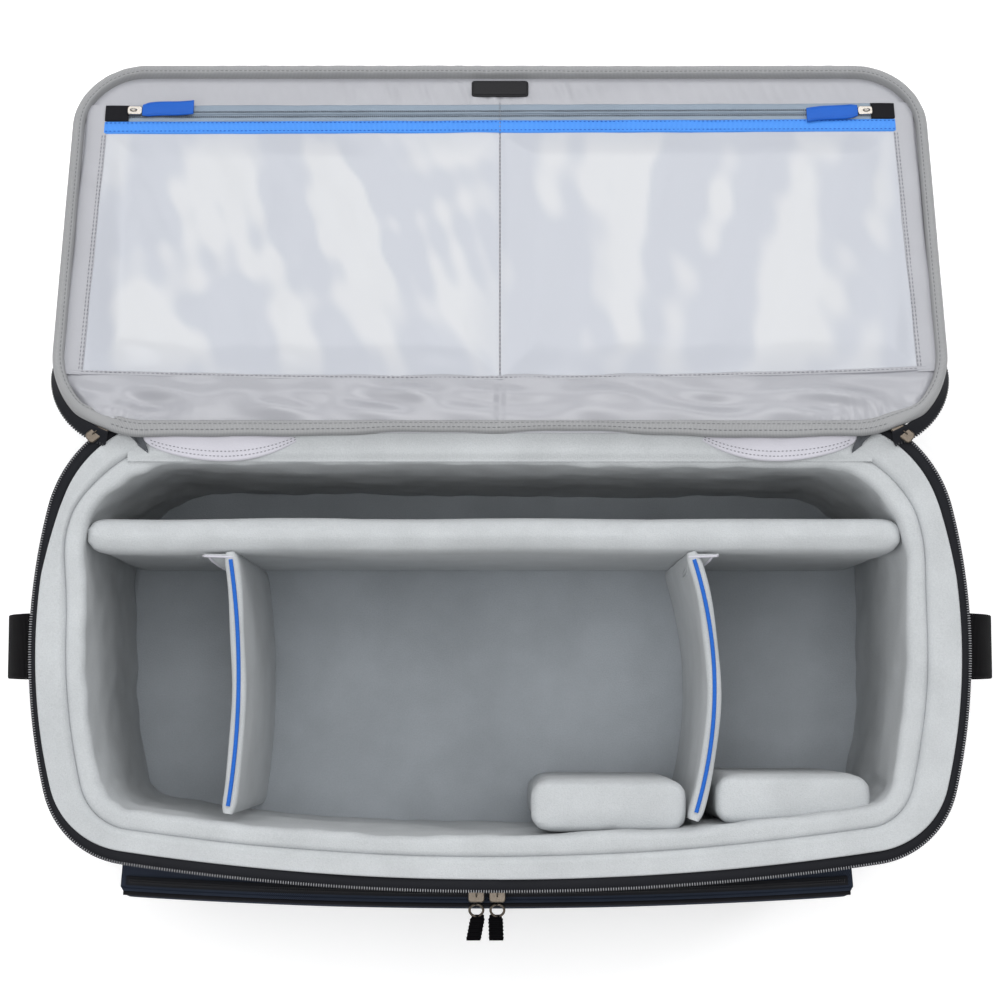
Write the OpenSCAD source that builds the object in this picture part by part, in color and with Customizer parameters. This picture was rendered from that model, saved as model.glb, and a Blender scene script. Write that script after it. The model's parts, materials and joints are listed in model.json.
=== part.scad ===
// Padded equipment case with a hinged soft lid, shown with the lid folded open.
// Millimetres, +Z up, +Y towards the hinge, origin at the middle of the base.

/* [Rim outline] */
// Half width of the rim at the zip teeth
rim_half_w = 354.5; // [330:0.5:430]
// Distance from the centre line to the front of the rim
rim_front = 182; // [165:1:222]
// Distance from the centre line to the back of the rim
rim_back = 183; // [165:1:222]
// Height of the rim above the ground
rim_z = 280; // [230:1:340]
// Radius of the long curve of each side
side_curve_r = 458; // [440:1:900]
// Radius of the long curve of the front
front_curve_r = 1928; // [1600:1:3000]
// Radius of the rear corners
rear_corner_r = 100; // [80:1:120]
// Radius of the front corners
front_corner_r = 70; // [58:1:84]

/* [Walls and base] */
// Width of the zip tape that stands out round the rim
rim_tape_w = 9.5; // [8:0.5:12]
// Thickness of the outer fabric shell
shell_t = 2.5; // [1.5:0.1:3.5]
// Thickness of the padded foam walls
foam_t = 22; // [16:0.5:27]
// Thickness of the felt liner walls
liner_t = 14; // [10:0.5:17]
// Thickness of the fabric covered base panel
base_t = 4; // [3:0.5:6]
// Thickness of the stiffener board
stiffener_t = 5; // [3:0.5:8]
// Thickness of the felt floor pad
floor_pad_t = 21; // [15:0.5:28]
// Thickness of the zip tapes
tape_t = 1.5; // [1:0.1:2]
// Height of the rim zip teeth
teeth_h = 3.4; // [2.4:0.1:4]

/* [Lid] */
// Thickness of the padded lid
lid_t = 25.5; // [18:0.5:31]
// Height of the lining above the closed rim
lid_rise = 11; // [9:0.5:14]
// Width of the rolled binding round the lid
binding_w = 9; // [7:0.5:11]
// Angle of the open lid below level
lid_droop = 19; // [8:0.5:24]
// Radius of the lid's front corners
lid_front_r = 57; // [46:1:68]
// Radius of the lid's corners at the hinge
lid_rear_r = 75; // [63:1:90]
// Width of the folded strip along the hinge
hinge_strip_w = 17; // [14:0.5:20]
// Distance from the hinge to the bottom of the window
window_start = 57; // [48:1:68]
// Length of the window, from its bottom to its top
window_len = 217; // [180:1:240]
// Width of the coloured trim above the window
trim_w = 12; // [8:0.5:15]
// Width of the zip tape of the lid pocket
lid_tape_w = 15.5; // [12:0.5:18]

/* [Dividers] */
// Thickness of the long divider
long_divider_t = 24.8; // [20:0.2:30]
// Distance from the centre line to the front face of the long divider
long_divider_y = 73.8; // [55:0.2:80]
// Drop of the long divider's top below the rim
long_divider_drop = 4; // [2:1:20]
// Thickness of the cross dividers
cross_divider_t = 11; // [8:0.5:14]
// Drop of the cross dividers' tops below the rim
cross_divider_drop = 12; // [8:1:30]
// Place of the left divider's ends across the case
left_divider_x = -206; // [-250:1:-160]
// Bow of the left divider at its middle
left_divider_bow = 8; // [0:1:15]
// Place of the right divider's ends across the case
right_divider_x = 149; // [110:1:180]
// Bow of the right divider at its middle
right_divider_bow = 14; // [0:1:20]
// Width of the loose foam blocks
block_w = 120; // [95:1:125]
// Depth of the loose foam blocks from front to back
block_depth = 40; // [30:1:55]
// Drop of the blocks' tops below the rim
block_drop = 18; // [8:1:60]

/* [Outside] */
// Width of the webbing
webbing_w = 50; // [38:1:60]
// Thickness of the webbing
webbing_t = 3; // [2:0.2:4]
// Bow of the side handles away from the sides
handle_bow = 41; // [34:1:50]
// Distance between the ends of a side handle
handle_span = 120; // [104:1:150]
// Half width of the front pocket
pocket_half_w = 281; // [225:1:300]
// Distance the pocket's face stands in front of the rim
pocket_proud = 16; // [14:1:26]
// Radius of the pocket's face
pocket_curve_r = 4200; // [3200:50:6000]
// Drop of the pocket's top below the rim
pocket_drop = 42; // [34:1:60]
// Height of the pocket's bottom above the ground
pocket_bottom = 26; // [18:1:40]
// Thickness of the pocket's front panel
pocket_panel_t = 8; // [5:0.5:10]

/* [Hidden] */

// Colours
NAVY = "#2a2e34";
BLACK = "#232326";
FELT = "#cbcfd3";
NYLON = "#cfd0d5";
BINDING = "#a0a0a4";
TRIM_BLUE = "#58a0f1";
METAL = "#4b443c";
FILM = "#e2e4e9";

// Clearances
gap = 0.3;             // between pieces that slide past each other
loose_gap = 0.6;       // round pieces that lift out
lid_gap = 1.5;         // between the open lid and the back of the case

// Rim outline: four long curves joined by corner arcs. All arcs share their centres at every
// inset, so insets stay exact.
side_cx = rim_half_w - side_curve_r;
front_cy = front_curve_r - rim_front;
rear_cy = rim_back - rear_corner_r;
rear_cx = side_cx + sqrt(pow(side_curve_r - rear_corner_r, 2) - pow(rear_cy, 2));
rear_start = atan2(rear_cy, rear_cx - side_cx);
centre_dist = norm([side_cx, front_cy]);
side_reach = side_curve_r - front_corner_r;
front_reach = front_curve_r - front_corner_r;
along = (pow(side_reach, 2) - pow(front_reach, 2) + pow(centre_dist, 2)) / (2 * centre_dist);
across = sqrt(pow(side_reach, 2) - pow(along, 2));
unit = [-side_cx / centre_dist, front_cy / centre_dist];
front_c = [side_cx + along * unit[0] + across * unit[1], along * unit[1] - across * unit[0]];
front_end = atan2(front_c[1] - front_cy, front_c[0]);
side_start = atan2(front_c[1], front_c[0] - side_cx);

function arc(cx, cy, r, a0, a1, n) =
    [for (i = [0 : n]) let (a = a0 + (a1 - a0) * i / n) [cx + r * cos(a), cy + r * sin(a)]];
function butlast(points) = [for (i = [0 : len(points) - 2]) points[i]];
function mirrored(points) =
    [for (i = [len(points) - 1 : -1 : 0]) if (points[i][0] > 0.001) [-points[i][0], points[i][1]]];
function right_half(d) = concat(
    butlast(arc(0, front_cy, front_curve_r - d, -90, front_end, 5)),
    butlast(arc(front_c[0], front_c[1], front_corner_r - d, front_end, side_start, 9)),
    butlast(arc(side_cx, 0, side_curve_r - d, side_start, rear_start, 6)),
    arc(rear_cx, rear_cy, rear_corner_r - d, rear_start, 90, 11));
function outline(d) = concat(right_half(d), mirrored(right_half(d)));

// Insets and levels
shell_in = rim_tape_w;
shell_out = rim_tape_w - shell_t;
foam_in = rim_tape_w + foam_t;
liner_in = foam_in + liner_t;
floor_z = base_t + stiffener_t + floor_pad_t;
tape_z = rim_z - tape_t - 1;
wall_cut_x = rear_cx - 15;
rim_teeth_w = 4;
zip_end_y = rim_back - 25;

module inset_slab(d, z0, z1) {
    translate([0, 0, z0])
        linear_extrude(z1 - z0)
            polygon(outline(d));
}

module ring(d_out, d_in, z0, z1) {
    translate([0, 0, z0])
        linear_extrude(z1 - z0)
            difference() {
                polygon(outline(d_out));
                polygon(outline(d_in));
            }
}

// One of the four lengths of a wall: the middle of the front or back, or a whole side.
module wall_part(side) {
    far = 2 * rim_half_w;
    intersection() {
        children();
        if (side == "front")
            translate([-wall_cut_x, -far, -1]) cube([2 * wall_cut_x, far, far]);
        if (side == "back")
            translate([-wall_cut_x, 0, -1]) cube([2 * wall_cut_x, far, far]);
        if (side == "left")
            translate([-wall_cut_x - far, -far, -1]) cube([far, 2 * far, far]);
        if (side == "right")
            translate([wall_cut_x, -far, -1]) cube([far, 2 * far, far]);
    }
}

module shell(side) {
    color(NAVY) wall_part(side) ring(shell_out, shell_in, base_t, tape_z - gap);
}

module foam(side) {
    color(FELT) wall_part(side) ring(shell_in, foam_in, base_t + stiffener_t, rim_z);
}

module liner(side) {
    color(FELT) wall_part(side) ring(foam_in, liner_in, floor_z, rim_z);
}

module base_panel() {
    color(BLACK) inset_slab(shell_out, 0, base_t);
}

module base_stiffener() {
    color(BLACK) inset_slab(shell_in, base_t, base_t + stiffener_t);
}

module floor_pad() {
    color(FELT) inset_slab(foam_in, base_t + stiffener_t, floor_z);
}

piping_d = 4;
module base_piping() {
    color(BLACK) ring(shell_out - piping_d, shell_out, base_t, base_t + piping_d);
}

module without_hinge_side() {
    difference() {
        children();
        translate([-rim_half_w, zip_end_y, 0])
            cube([2 * rim_half_w, rim_half_w, 2 * rim_z]);
    }
}

module rim_zip_tape() {
    color(NAVY) without_hinge_side()
        ring(rim_teeth_w / 2, rim_tape_w, tape_z, tape_z + tape_t);
}

module rim_zip_teeth() {
    color(BLACK) without_hinge_side()
        ring(-rim_teeth_w / 2, rim_teeth_w / 2, rim_z - teeth_h, rim_z - 0.1);
}

// Side handles: a webbing strap bowed away from the side, in the upright plane across the case.
handle_y = 3;
handle_mid_z = rim_z - 102;
side_x = rim_half_w - shell_out;
patch_t = 2;
handle_r = pow(handle_span, 2) / (8 * handle_bow) + handle_bow / 2;
handle_a = asin(handle_span / 2 / handle_r);
handle_inner_a = acos((handle_r - handle_bow) / (handle_r - webbing_t));
patch_h = handle_span + 36;
patch_w = webbing_w + 20;

module handle(s) {
    cx = side_x + patch_t + handle_bow - handle_r;
    band = concat(arc(cx, 0, handle_r, -handle_a, handle_a, 20),
                  arc(cx, 0, handle_r - webbing_t, handle_inner_a, -handle_inner_a, 20));
    color(BLACK)
        translate([0, handle_y + webbing_w / 2, handle_mid_z])
            rotate([90, 0, 0])
                linear_extrude(webbing_w)
                    polygon([for (p = band) [s * p[0], p[1]]]);
}

module handle_patches() {
    color(BLACK)
        for (s = [-1, 1])
            translate([s * (side_x + patch_t / 2 - 0.05), handle_y, handle_mid_z])
                cube([patch_t - 0.1, patch_w, patch_h], center = true);
}

// Front pocket: a gusset open to the front, closed by a panel that hinges at its bottom edge.
pocket_x = -10;
pocket_cy = pocket_curve_r - rim_front - pocket_proud;
pocket_top = rim_z - pocket_drop;
gusset_s = pocket_panel_t + gap;
gusset_t = 2;
pocket_zip_s = gusset_s + 0.7;
pocket_zip_w = 7;
coil_w = 3;
coil_h = 1.8;

module pocket_face(s) {
    translate([pocket_x, pocket_cy]) circle(r = pocket_curve_r - s, $fn = 360);
}

module pocket_strip(s0, s1, half_w, z0, z1) {
    a = asin(half_w / pocket_curve_r);
    translate([0, 0, z0])
        linear_extrude(z1 - z0)
            polygon(concat(
                arc(pocket_x, pocket_cy, pocket_curve_r - s0, -90 - a, -90 + a, 16),
                arc(pocket_x, pocket_cy, pocket_curve_r - s1, -90 + a, -90 - a, 16)));
}

module pocket_gusset() {
    color(NAVY)
        difference() {
            translate([0, 0, pocket_bottom])
                linear_extrude(pocket_top - pocket_bottom)
                    difference() {
                        intersection() {
                            pocket_face(gusset_s);
                            translate([pocket_x - pocket_half_w, -2 * rim_front])
                                square([2 * pocket_half_w, 2 * rim_front]);
                        }
                        polygon(outline(shell_out - 0.1));
                    }
            translate([0, 0, pocket_bottom + gusset_t])
                linear_extrude(pocket_top - pocket_bottom - 2 * gusset_t)
                    difference() {
                        translate([pocket_x - pocket_half_w + gusset_t, -2 * rim_front])
                            square([2 * (pocket_half_w - gusset_t), 2 * rim_front]);
                        polygon(outline(shell_out - 0.1 - gusset_t));
                    }
        }
}

module pocket_zip_tape() {
    color(BLACK)
        pocket_strip(pocket_zip_s, pocket_zip_s + pocket_zip_w, pocket_half_w - 4,
                     pocket_top, pocket_top + tape_t);
}

module pocket_zip_coil() {
    color(BLACK)
        pocket_strip(pocket_zip_s + 2, pocket_zip_s + 2 + coil_w, pocket_half_w - 6,
                     pocket_top + tape_t, pocket_top + tape_t + coil_h);
}

module pocket_panel() {
    color(BLACK) pocket_strip(0, pocket_panel_t, pocket_half_w, pocket_bottom, pocket_top);
}

// The two pocket sliders stand side by side near the middle and travel round the pocket's face.
slider_l = 11;
slider_w = 8;
slider_h = 4;
pull_t = 2.4;
pocket_slider_x = 8;
pocket_slider_z = pocket_top + tape_t + coil_h + gap;
pocket_slider_y = -rim_front - pocket_proud + pocket_zip_s + 2 + coil_w / 2;
pocket_pull_l = 30;
pocket_pull_w = 9;
pocket_pull_droop = 8;

module pocket_slider(s) {
    color(METAL)
        translate([pocket_x + s * pocket_slider_x - slider_l / 2,
                   pocket_slider_y - slider_w / 2, pocket_slider_z])
            cube([slider_l, slider_w, slider_h]);
}

// A pull turns about its top edge, a little in front of the slider.
module pocket_pull(s) {
    color(BLACK)
        translate([pocket_x + s * pocket_slider_x, pocket_slider_y - slider_w / 2 - 2 * gap,
                   pocket_slider_z + slider_h])
            rotate([pocket_pull_droop, 0, 0])
                translate([-pocket_pull_w / 2, -pocket_pull_l, -pull_t])
                    cube([pocket_pull_w, pocket_pull_l, pull_t]);
}

// Hinge: the lid folds about a line over the back wall.
hinge_y = rim_back - 28;
hinge_z = rim_z + lid_rise;
lid_half_w = rim_half_w - 11.5;
lid_len = hinge_y + rim_front - 1;
hinge_half_w = lid_half_w - lid_rear_r + 15;
panel_t = 0.8;

module hinge_panel() {
    color(NYLON)
        translate([-hinge_half_w, hinge_y - 13, rim_z])
            cube([2 * hinge_half_w, 26, panel_t]);
}

// Two crescent flaps, each the part of a disc in front of a chord, lie on the hinge panel.
flap_len = 123;
flap_depth = 18;
flap_x = 207;
flap_front_y = hinge_y - 10;
module hinge_flaps() {
    r = pow(flap_len, 2) / (8 * flap_depth) + flap_depth / 2;
    color(NYLON)
        for (s = [-1, 1])
            translate([s * flap_x, 0, rim_z + panel_t])
                linear_extrude(panel_t)
                    intersection() {
                        translate([0, flap_front_y + r]) circle(r = r, $fn = 180);
                        translate([-flap_len / 2, flap_front_y])
                            square([flap_len, flap_depth]);
                    }
}

// The lid is drawn closed, in lid_slab and lid_plate, and then folded open about the hinge.
// In lid terms, e is the distance from the hinge and c the height outwards from the lining.
module folded_open() {
    translate([0, hinge_y, hinge_z])
        rotate([-180 - lid_droop, 0, 0])
            translate([0, -hinge_y, -hinge_z])
                children();
}

function lid_outline(d, rear_r) =
    let (x = lid_half_w - d, y0 = hinge_y - lid_len + d, y1 = hinge_y - d,
         rf = lid_front_r - d, rr = rear_r - d,
         half = concat(arc(x - rf, y0 + rf, rf, -90, 0, 10), arc(x - rr, y1 - rr, rr, 0, 90, 10)))
    concat(half, mirrored(half));

module lid_slab(d, c0, c1, rear_r = lid_rear_r) {
    translate([0, 0, hinge_z + c0])
        linear_extrude(c1 - c0)
            polygon(lid_outline(d, rear_r));
}

module lid_ring(d_out, d_in, c0, c1, rear_r = lid_rear_r) {
    translate([0, 0, hinge_z + c0])
        linear_extrude(c1 - c0)
            difference() {
                polygon(lid_outline(d_out, rear_r));
                polygon(lid_outline(d_in, rear_r));
            }
}

module lid_plate(x0, x1, e0, e1, c0, c1) {
    translate([x0, hinge_y - e1, hinge_z + c0]) cube([x1 - x0, e1 - e0, c1 - c0]);
}

// Cuts the padded part of the open lid back to clear the back of the case.
module clear_of_back() {
    difference() {
        children();
        translate([-rim_half_w, 0, 0])
            cube([2 * rim_half_w, rim_back - shell_out + lid_gap, 2 * rim_z]);
    }
}

lining_t = 1.5;
skin_t = 2;
lid_skin_d = 3.5;
lid_tape_c = 2;
lid_tape_h = 9;
splay_r = lid_rear_r - 17;
lid_zip_start = 15;

module lid_shell() {
    color(NAVY) clear_of_back() folded_open()
        difference() {
            lid_slab(lid_skin_d, lining_t, lid_t);
            lid_slab(lid_skin_d + skin_t, lining_t - 1, lid_t - skin_t);
        }
}

module lid_foam() {
    color(FELT) clear_of_back() folded_open()
        lid_slab(lid_skin_d + skin_t, lining_t, lid_t - skin_t);
}

module lid_lining() {
    color(NYLON) folded_open() lid_slab(binding_w, 0, lining_t);
}

binding_h = lid_rise - 1;
module lid_binding() {
    color(BINDING) folded_open()
        difference() {
            lid_ring(0, binding_w, -binding_h, lining_t);
            lid_plate(-lid_half_w, lid_half_w, -1, binding_w + gap, -binding_h - 1, lid_t);
        }
}

strip_h = 4;
module lid_hinge_strip() {
    x = lid_half_w - lid_rear_r;
    color(BINDING) folded_open() {
        lid_plate(-x, x, 0, binding_w, -strip_h, lining_t);
        lid_plate(-x, x, binding_w, hinge_strip_w, -strip_h, 0);
    }
}

module lid_without_hinge_side() {
    difference() {
        children();
        lid_plate(-rim_half_w, rim_half_w, -1, lid_zip_start, -lid_t, 2 * lid_t);
    }
}

module lid_zip_tape() {
    color(NAVY) folded_open() lid_without_hinge_side()
        lid_ring(1.2, 1.2 + tape_t, lid_tape_c, lid_tape_c + lid_tape_h, splay_r);
}

module lid_zip_teeth() {
    color(BLACK) folded_open() lid_without_hinge_side()
        lid_ring(0.4, 3.2, lid_tape_c + lid_tape_h, lid_tape_c + lid_tape_h + teeth_h, splay_r);
}

// The lid pocket: clear window, its sewn frame, the coloured trim and the zip above it.
window_half_w = lid_half_w - 23;
frame_w = 8;
film_t = 1;
window_end = window_start + window_len;
zip_e = window_end + trim_w;
tab_l = 21;

module lid_window() {
    x = window_half_w - frame_w;
    color(FILM, 0.5) folded_open()
        lid_plate(-x, x, window_start, window_end, -film_t, 0);
}

module lid_window_frame() {
    x = window_half_w;
    color(NYLON) folded_open() {
        for (s = [-1, 1])
            lid_plate(s * x - (s > 0 ? frame_w : 0), s * x + (s < 0 ? frame_w : 0),
                      window_start, window_end, -film_t - 0.5, 0);
        lid_plate(-x, x, window_start - frame_w, window_start, -film_t - 0.5, 0);
    }
}

module lid_trim() {
    color(TRIM_BLUE) folded_open()
        lid_plate(-window_half_w, window_half_w, window_end, zip_e, -film_t - 0.5, 0);
}

module lid_pocket_tape() {
    x = window_half_w - tab_l;
    color(NAVY) folded_open() lid_plate(-x, x, zip_e, zip_e + lid_tape_w, -film_t, 0);
}

lid_coil_e = zip_e + lid_tape_w / 2;
lid_coil_top = film_t + coil_h;
module lid_pocket_coil() {
    x = window_half_w - tab_l;
    color(BLACK) folded_open()
        lid_plate(-x, x, lid_coil_e - coil_w / 2, lid_coil_e + coil_w / 2, -lid_coil_top, -film_t);
}

module lid_pocket_tabs() {
    x = window_half_w;
    color(BLACK) folded_open()
        for (s = [-1, 1])
            lid_plate(s > 0 ? x - tab_l : -x, s > 0 ? x : tab_l - x,
                      zip_e, zip_e + lid_tape_w, -film_t - 1, 0);
}

label_w = 46;
label_h = 15;
label_e = lid_len - 27;
module lid_label() {
    color(BLACK) folded_open()
        lid_plate(-label_w / 2, label_w / 2, label_e, label_e + label_h, -film_t, 0);
}

// Grab handle across the outer face of the lid
grab_span = 180;
grab_bow = 28;
grab_w = 40;
module lid_handle() {
    r = pow(grab_span, 2) / (8 * grab_bow) + grab_bow / 2;
    a = asin(grab_span / 2 / r);
    inner_a = acos((r - grab_bow) / (r - webbing_t));
    band = concat(arc(0, grab_bow - r, r, 90 - a, 90 + a, 24),
                  arc(0, grab_bow - r, r - webbing_t, 90 + inner_a, 90 - inner_a, 24));
    color(BLACK) folded_open()
        translate([0, hinge_y - lid_len / 2 + grab_w / 2, hinge_z + lid_t + 0.05]) {
            rotate([90, 0, 0]) linear_extrude(grab_w) polygon(band);
            for (s = [-1, 1])
                translate([s * (grab_span / 2 + 8) - 15, -grab_w, 0]) cube([30, grab_w, 3]);
        }
}

lid_slider_x = window_half_w - tab_l - slider_l / 2 - 1;
lid_pull_l = 34;
lid_pull_w = 12;
module lid_slider(s) {
    color(METAL) folded_open()
        lid_plate(s * lid_slider_x - slider_l / 2, s * lid_slider_x + slider_l / 2,
                  lid_coil_e - slider_w / 2, lid_coil_e + slider_w / 2,
                  -lid_coil_top - gap - slider_h, -lid_coil_top - gap);
}

module lid_pull(s) {
    inner = lid_slider_x - slider_l / 2 - gap;
    x0 = s > 0 ? inner - lid_pull_l : -inner;
    color(TRIM_BLUE) folded_open()
        lid_plate(x0, x0 + lid_pull_l, lid_coil_e - lid_pull_w / 2, lid_coil_e + lid_pull_w / 2,
                  -lid_coil_top - gap - pull_t, -lid_coil_top - gap);
}

// Main zip sliders, parked where the zip ends near the hinge. They travel round the rear
// corner arcs; their pulls hang outside the case.
park_angle = 52;
main_slider_l = 13;
main_pull_l = 33;
main_pull_w = 9;
lip_r = rim_teeth_w / 2 + gap;
lip_t = 2.2;
module at_park(s) {
    mirror([s < 0 ? 1 : 0, 0, 0])
        translate([rear_cx, rear_cy, 0])
            rotate([0, 0, park_angle])
                translate([rear_corner_r, 0, 0])
                    children();
}

module main_slider(s) {
    color(METAL) at_park(s)
        translate([0, -main_slider_l / 2, 0]) {
            translate([-3, 0, rim_z + 0.2]) cube([3 + lip_r + lip_t, main_slider_l, 2.4]);
            translate([lip_r, 0, rim_z - teeth_h]) cube([lip_t, main_slider_l, teeth_h + 1]);
        }
}

module main_pull(s) {
    color(METAL) at_park(s)
        translate([lip_r + lip_t + gap, -main_pull_w / 2, rim_z - main_pull_l])
            cube([pull_t, main_pull_w, main_pull_l]);
}

// Dividers and blocks stand on the floor pad and lift out.
stand_z = floor_z + gap;

module inside_strip(y0, y1, z0, z1) {
    intersection() {
        inset_slab(liner_in + loose_gap, z0, z1);
        translate([-rim_half_w, y0, z0]) cube([2 * rim_half_w, y1 - y0, z1 - z0]);
    }
}

// The long divider has a round top: an upright slab with a bar along its top.
module long_divider() {
    top = rim_z - long_divider_drop;
    mid = long_divider_y + long_divider_t / 2;
    r = long_divider_t / 2;
    color(FELT)
        intersection() {
            inside_strip(long_divider_y, long_divider_y + long_divider_t, stand_z, top);
            union() {
                inside_strip(long_divider_y, long_divider_y + long_divider_t, stand_z, top - r);
                translate([-rim_half_w, mid, top - r])
                    rotate([0, 90, 0])
                        cylinder(r = r, h = 2 * rim_half_w, $fn = 64);
            }
        }
}

divider_y0 = -rim_front + liner_in + loose_gap;
divider_y1 = long_divider_y - loose_gap;
divider_mid = (divider_y0 + divider_y1) / 2;
divider_half = (divider_y1 - divider_y0) / 2;
ear_l = 28;
ear_h = 70;
ear_t = 3;

function bowed(x, bow, y) = x + bow * (1 - pow((y - divider_mid) / divider_half, 2));

// A bowed upright divider with a triangular ear at its rear end, on the side given by s.
module cross_divider(x, bow, s) {
    t = cross_divider_t / 2;
    n = 14;
    ys = [for (i = [0 : n]) divider_y0 + (divider_y1 - divider_y0) * i / n];
    top = rim_z - cross_divider_drop;
    face = concat([for (y = ys) [bowed(x, bow, y) + t, y]],
                  [for (i = [n : -1 : 0]) [bowed(x, bow, ys[i]) - t, ys[i]]]);
    color(FELT) {
        intersection() {
            translate([0, 0, stand_z]) linear_extrude(top - stand_z) polygon(face);
            inset_slab(liner_in + loose_gap, stand_z, top);
        }
        translate([x + s * (t - 2), divider_y1, 0])
            rotate([90, 0, 0])
                linear_extrude(ear_t)
                    polygon([[0, top], [s * ear_l, top], [0, top - ear_h]]);
    }
}

// The blocks stand against the front liner, either side of the right divider.
block_front = divider_y0;
block_corner = 12;
block_right_setback = 5;
block_left_end = right_divider_x - cross_divider_t / 2 - 1;
block_right_start =
    bowed(right_divider_x, right_divider_bow, block_front + block_right_setback + block_depth)
    + cross_divider_t / 2 + 1;

module block(x0, setback) {
    w = block_w;
    d = block_depth;
    r = block_corner;
    y = block_front + setback;
    color(FELT)
        intersection() {
            translate([x0, y, stand_z])
                linear_extrude(rim_z - block_drop - stand_z)
                    polygon(concat(arc(w - r, r, r, -90, 0, 6), arc(w - r, d - r, r, 0, 90, 6),
                                   arc(r, d - r, r, 90, 180, 6), arc(r, r, r, 180, 270, 6)));
            inset_slab(liner_in + loose_gap, 0, rim_z);
        }
}

base_panel();
base_stiffener();
floor_pad();
base_piping();
shell("front");  // shell_front
shell("back");  // shell_back
shell("left");  // shell_left
shell("right");  // shell_right
foam("front");  // foam_front
foam("back");  // foam_back
foam("left");  // foam_left
foam("right");  // foam_right
liner("front");  // liner_front
liner("back");  // liner_back
liner("left");  // liner_left
liner("right");  // liner_right
rim_zip_tape();
rim_zip_teeth();
handle(-1);  // handle_left
handle(1);  // handle_right
handle_patches();
pocket_gusset();
pocket_zip_tape();
pocket_zip_coil();
hinge_panel();
hinge_flaps();
pocket_panel();
pocket_slider(-1);  // pocket_slider_left
pocket_slider(1);  // pocket_slider_right
pocket_pull(-1);  // pocket_pull_left
pocket_pull(1);  // pocket_pull_right
lid_shell();
lid_foam();
lid_lining();
lid_binding();
lid_hinge_strip();
lid_zip_tape();
lid_zip_teeth();
lid_window();
lid_window_frame();
lid_trim();
lid_pocket_tape();
lid_pocket_coil();
lid_pocket_tabs();
lid_label();
lid_handle();
lid_slider(-1);  // lid_slider_left
lid_slider(1);  // lid_slider_right
lid_pull(-1);  // lid_pull_left
lid_pull(1);  // lid_pull_right
main_slider(-1);  // main_slider_left
main_slider(1);  // main_slider_right
main_pull(-1);  // main_pull_left
main_pull(1);  // main_pull_right
long_divider();
cross_divider(left_divider_x, left_divider_bow, -1);  // divider_left
cross_divider(right_divider_x, right_divider_bow, 1);  // divider_right
block(block_left_end - block_w, 0);  // block_left
block(block_right_start, block_right_setback);  // block_right
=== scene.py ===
"""A padded equipment case with its soft lid folded open, dressed in felt, nylon and webbing."""
from __future__ import annotations

import json
import logging
import math
from dataclasses import dataclass, field
from enum import Enum
from typing import Callable, Sequence

import bpy
import numpy as np
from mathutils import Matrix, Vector


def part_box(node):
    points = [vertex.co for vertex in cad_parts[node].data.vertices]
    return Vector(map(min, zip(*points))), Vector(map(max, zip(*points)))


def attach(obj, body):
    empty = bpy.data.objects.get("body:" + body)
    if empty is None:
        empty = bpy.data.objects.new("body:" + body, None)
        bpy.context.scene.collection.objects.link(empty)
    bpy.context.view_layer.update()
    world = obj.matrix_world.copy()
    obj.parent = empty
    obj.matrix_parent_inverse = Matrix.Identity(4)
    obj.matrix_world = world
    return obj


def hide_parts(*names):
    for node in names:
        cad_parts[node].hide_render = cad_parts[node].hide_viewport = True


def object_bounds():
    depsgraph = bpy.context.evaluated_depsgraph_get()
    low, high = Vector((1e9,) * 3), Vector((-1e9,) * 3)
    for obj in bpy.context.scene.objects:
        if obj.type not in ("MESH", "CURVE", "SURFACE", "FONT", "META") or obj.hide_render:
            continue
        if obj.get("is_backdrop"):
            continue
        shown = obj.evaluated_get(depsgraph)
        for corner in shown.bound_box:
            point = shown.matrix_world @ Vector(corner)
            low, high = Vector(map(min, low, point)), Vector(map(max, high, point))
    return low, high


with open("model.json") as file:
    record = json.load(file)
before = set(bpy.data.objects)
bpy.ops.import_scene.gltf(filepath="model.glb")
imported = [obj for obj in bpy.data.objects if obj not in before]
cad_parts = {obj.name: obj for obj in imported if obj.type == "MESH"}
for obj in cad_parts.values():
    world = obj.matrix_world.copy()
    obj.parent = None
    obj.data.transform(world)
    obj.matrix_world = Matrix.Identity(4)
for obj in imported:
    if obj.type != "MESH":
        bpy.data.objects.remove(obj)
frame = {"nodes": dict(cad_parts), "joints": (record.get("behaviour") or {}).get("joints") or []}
CAD_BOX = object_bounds()
MM = 0.001
LOG = logging.getLogger("case")
Array = np.ndarray


# ---------------------------------------------------------------- colours and nodes

def linear(code: str) -> tuple[float, float, float, float]:
    """Turn an sRGB hex colour into linear red, green, blue and alpha.

    Args:
        code: Six hex digits, such as "cbcfd3".
    Returns:
        The linear colour with alpha 1.
    """
    srgb = [int(code[i:i + 2], 16) / 255 for i in (0, 2, 4)]
    lin = [v / 12.92 if v <= 0.04045 else ((v + 0.055) / 1.055) ** 2.4 for v in srgb]
    return (lin[0], lin[1], lin[2], 1.0)


def add_node(tree: bpy.types.NodeTree, kind: str, settings: dict | None = None,
             links: dict | None = None) -> bpy.types.Node:
    """Add one node with its settings and its incoming links.

    Args:
        tree: The node tree.
        kind: The node's class name without the ShaderNode prefix.
        settings: Attribute names, or input names and numbers, and their values.
        links: Input names or numbers and the output socket each takes.
    Returns:
        The new node.
    """
    node = tree.nodes.new("ShaderNode" + kind)
    for key, value in (settings or {}).items():
        if isinstance(key, str) and hasattr(node, key):
            setattr(node, key, value)
        else:
            node.inputs[key].default_value = value
    for key, socket in (links or {}).items():
        tree.links.new(socket, node.inputs[key])
    return node


class Weave(Enum):
    """How a cloth's surface is made."""
    PLAIN = "plain"
    TWILL = "twill"
    RIB = "rib"
    FELT = "felt"
    NONE = "none"


class Space(Enum):
    """Which coordinates a pattern follows: the piece's own UV map, in metres, or the object."""
    SURFACE = "surface"
    OBJECT = "object"


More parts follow.
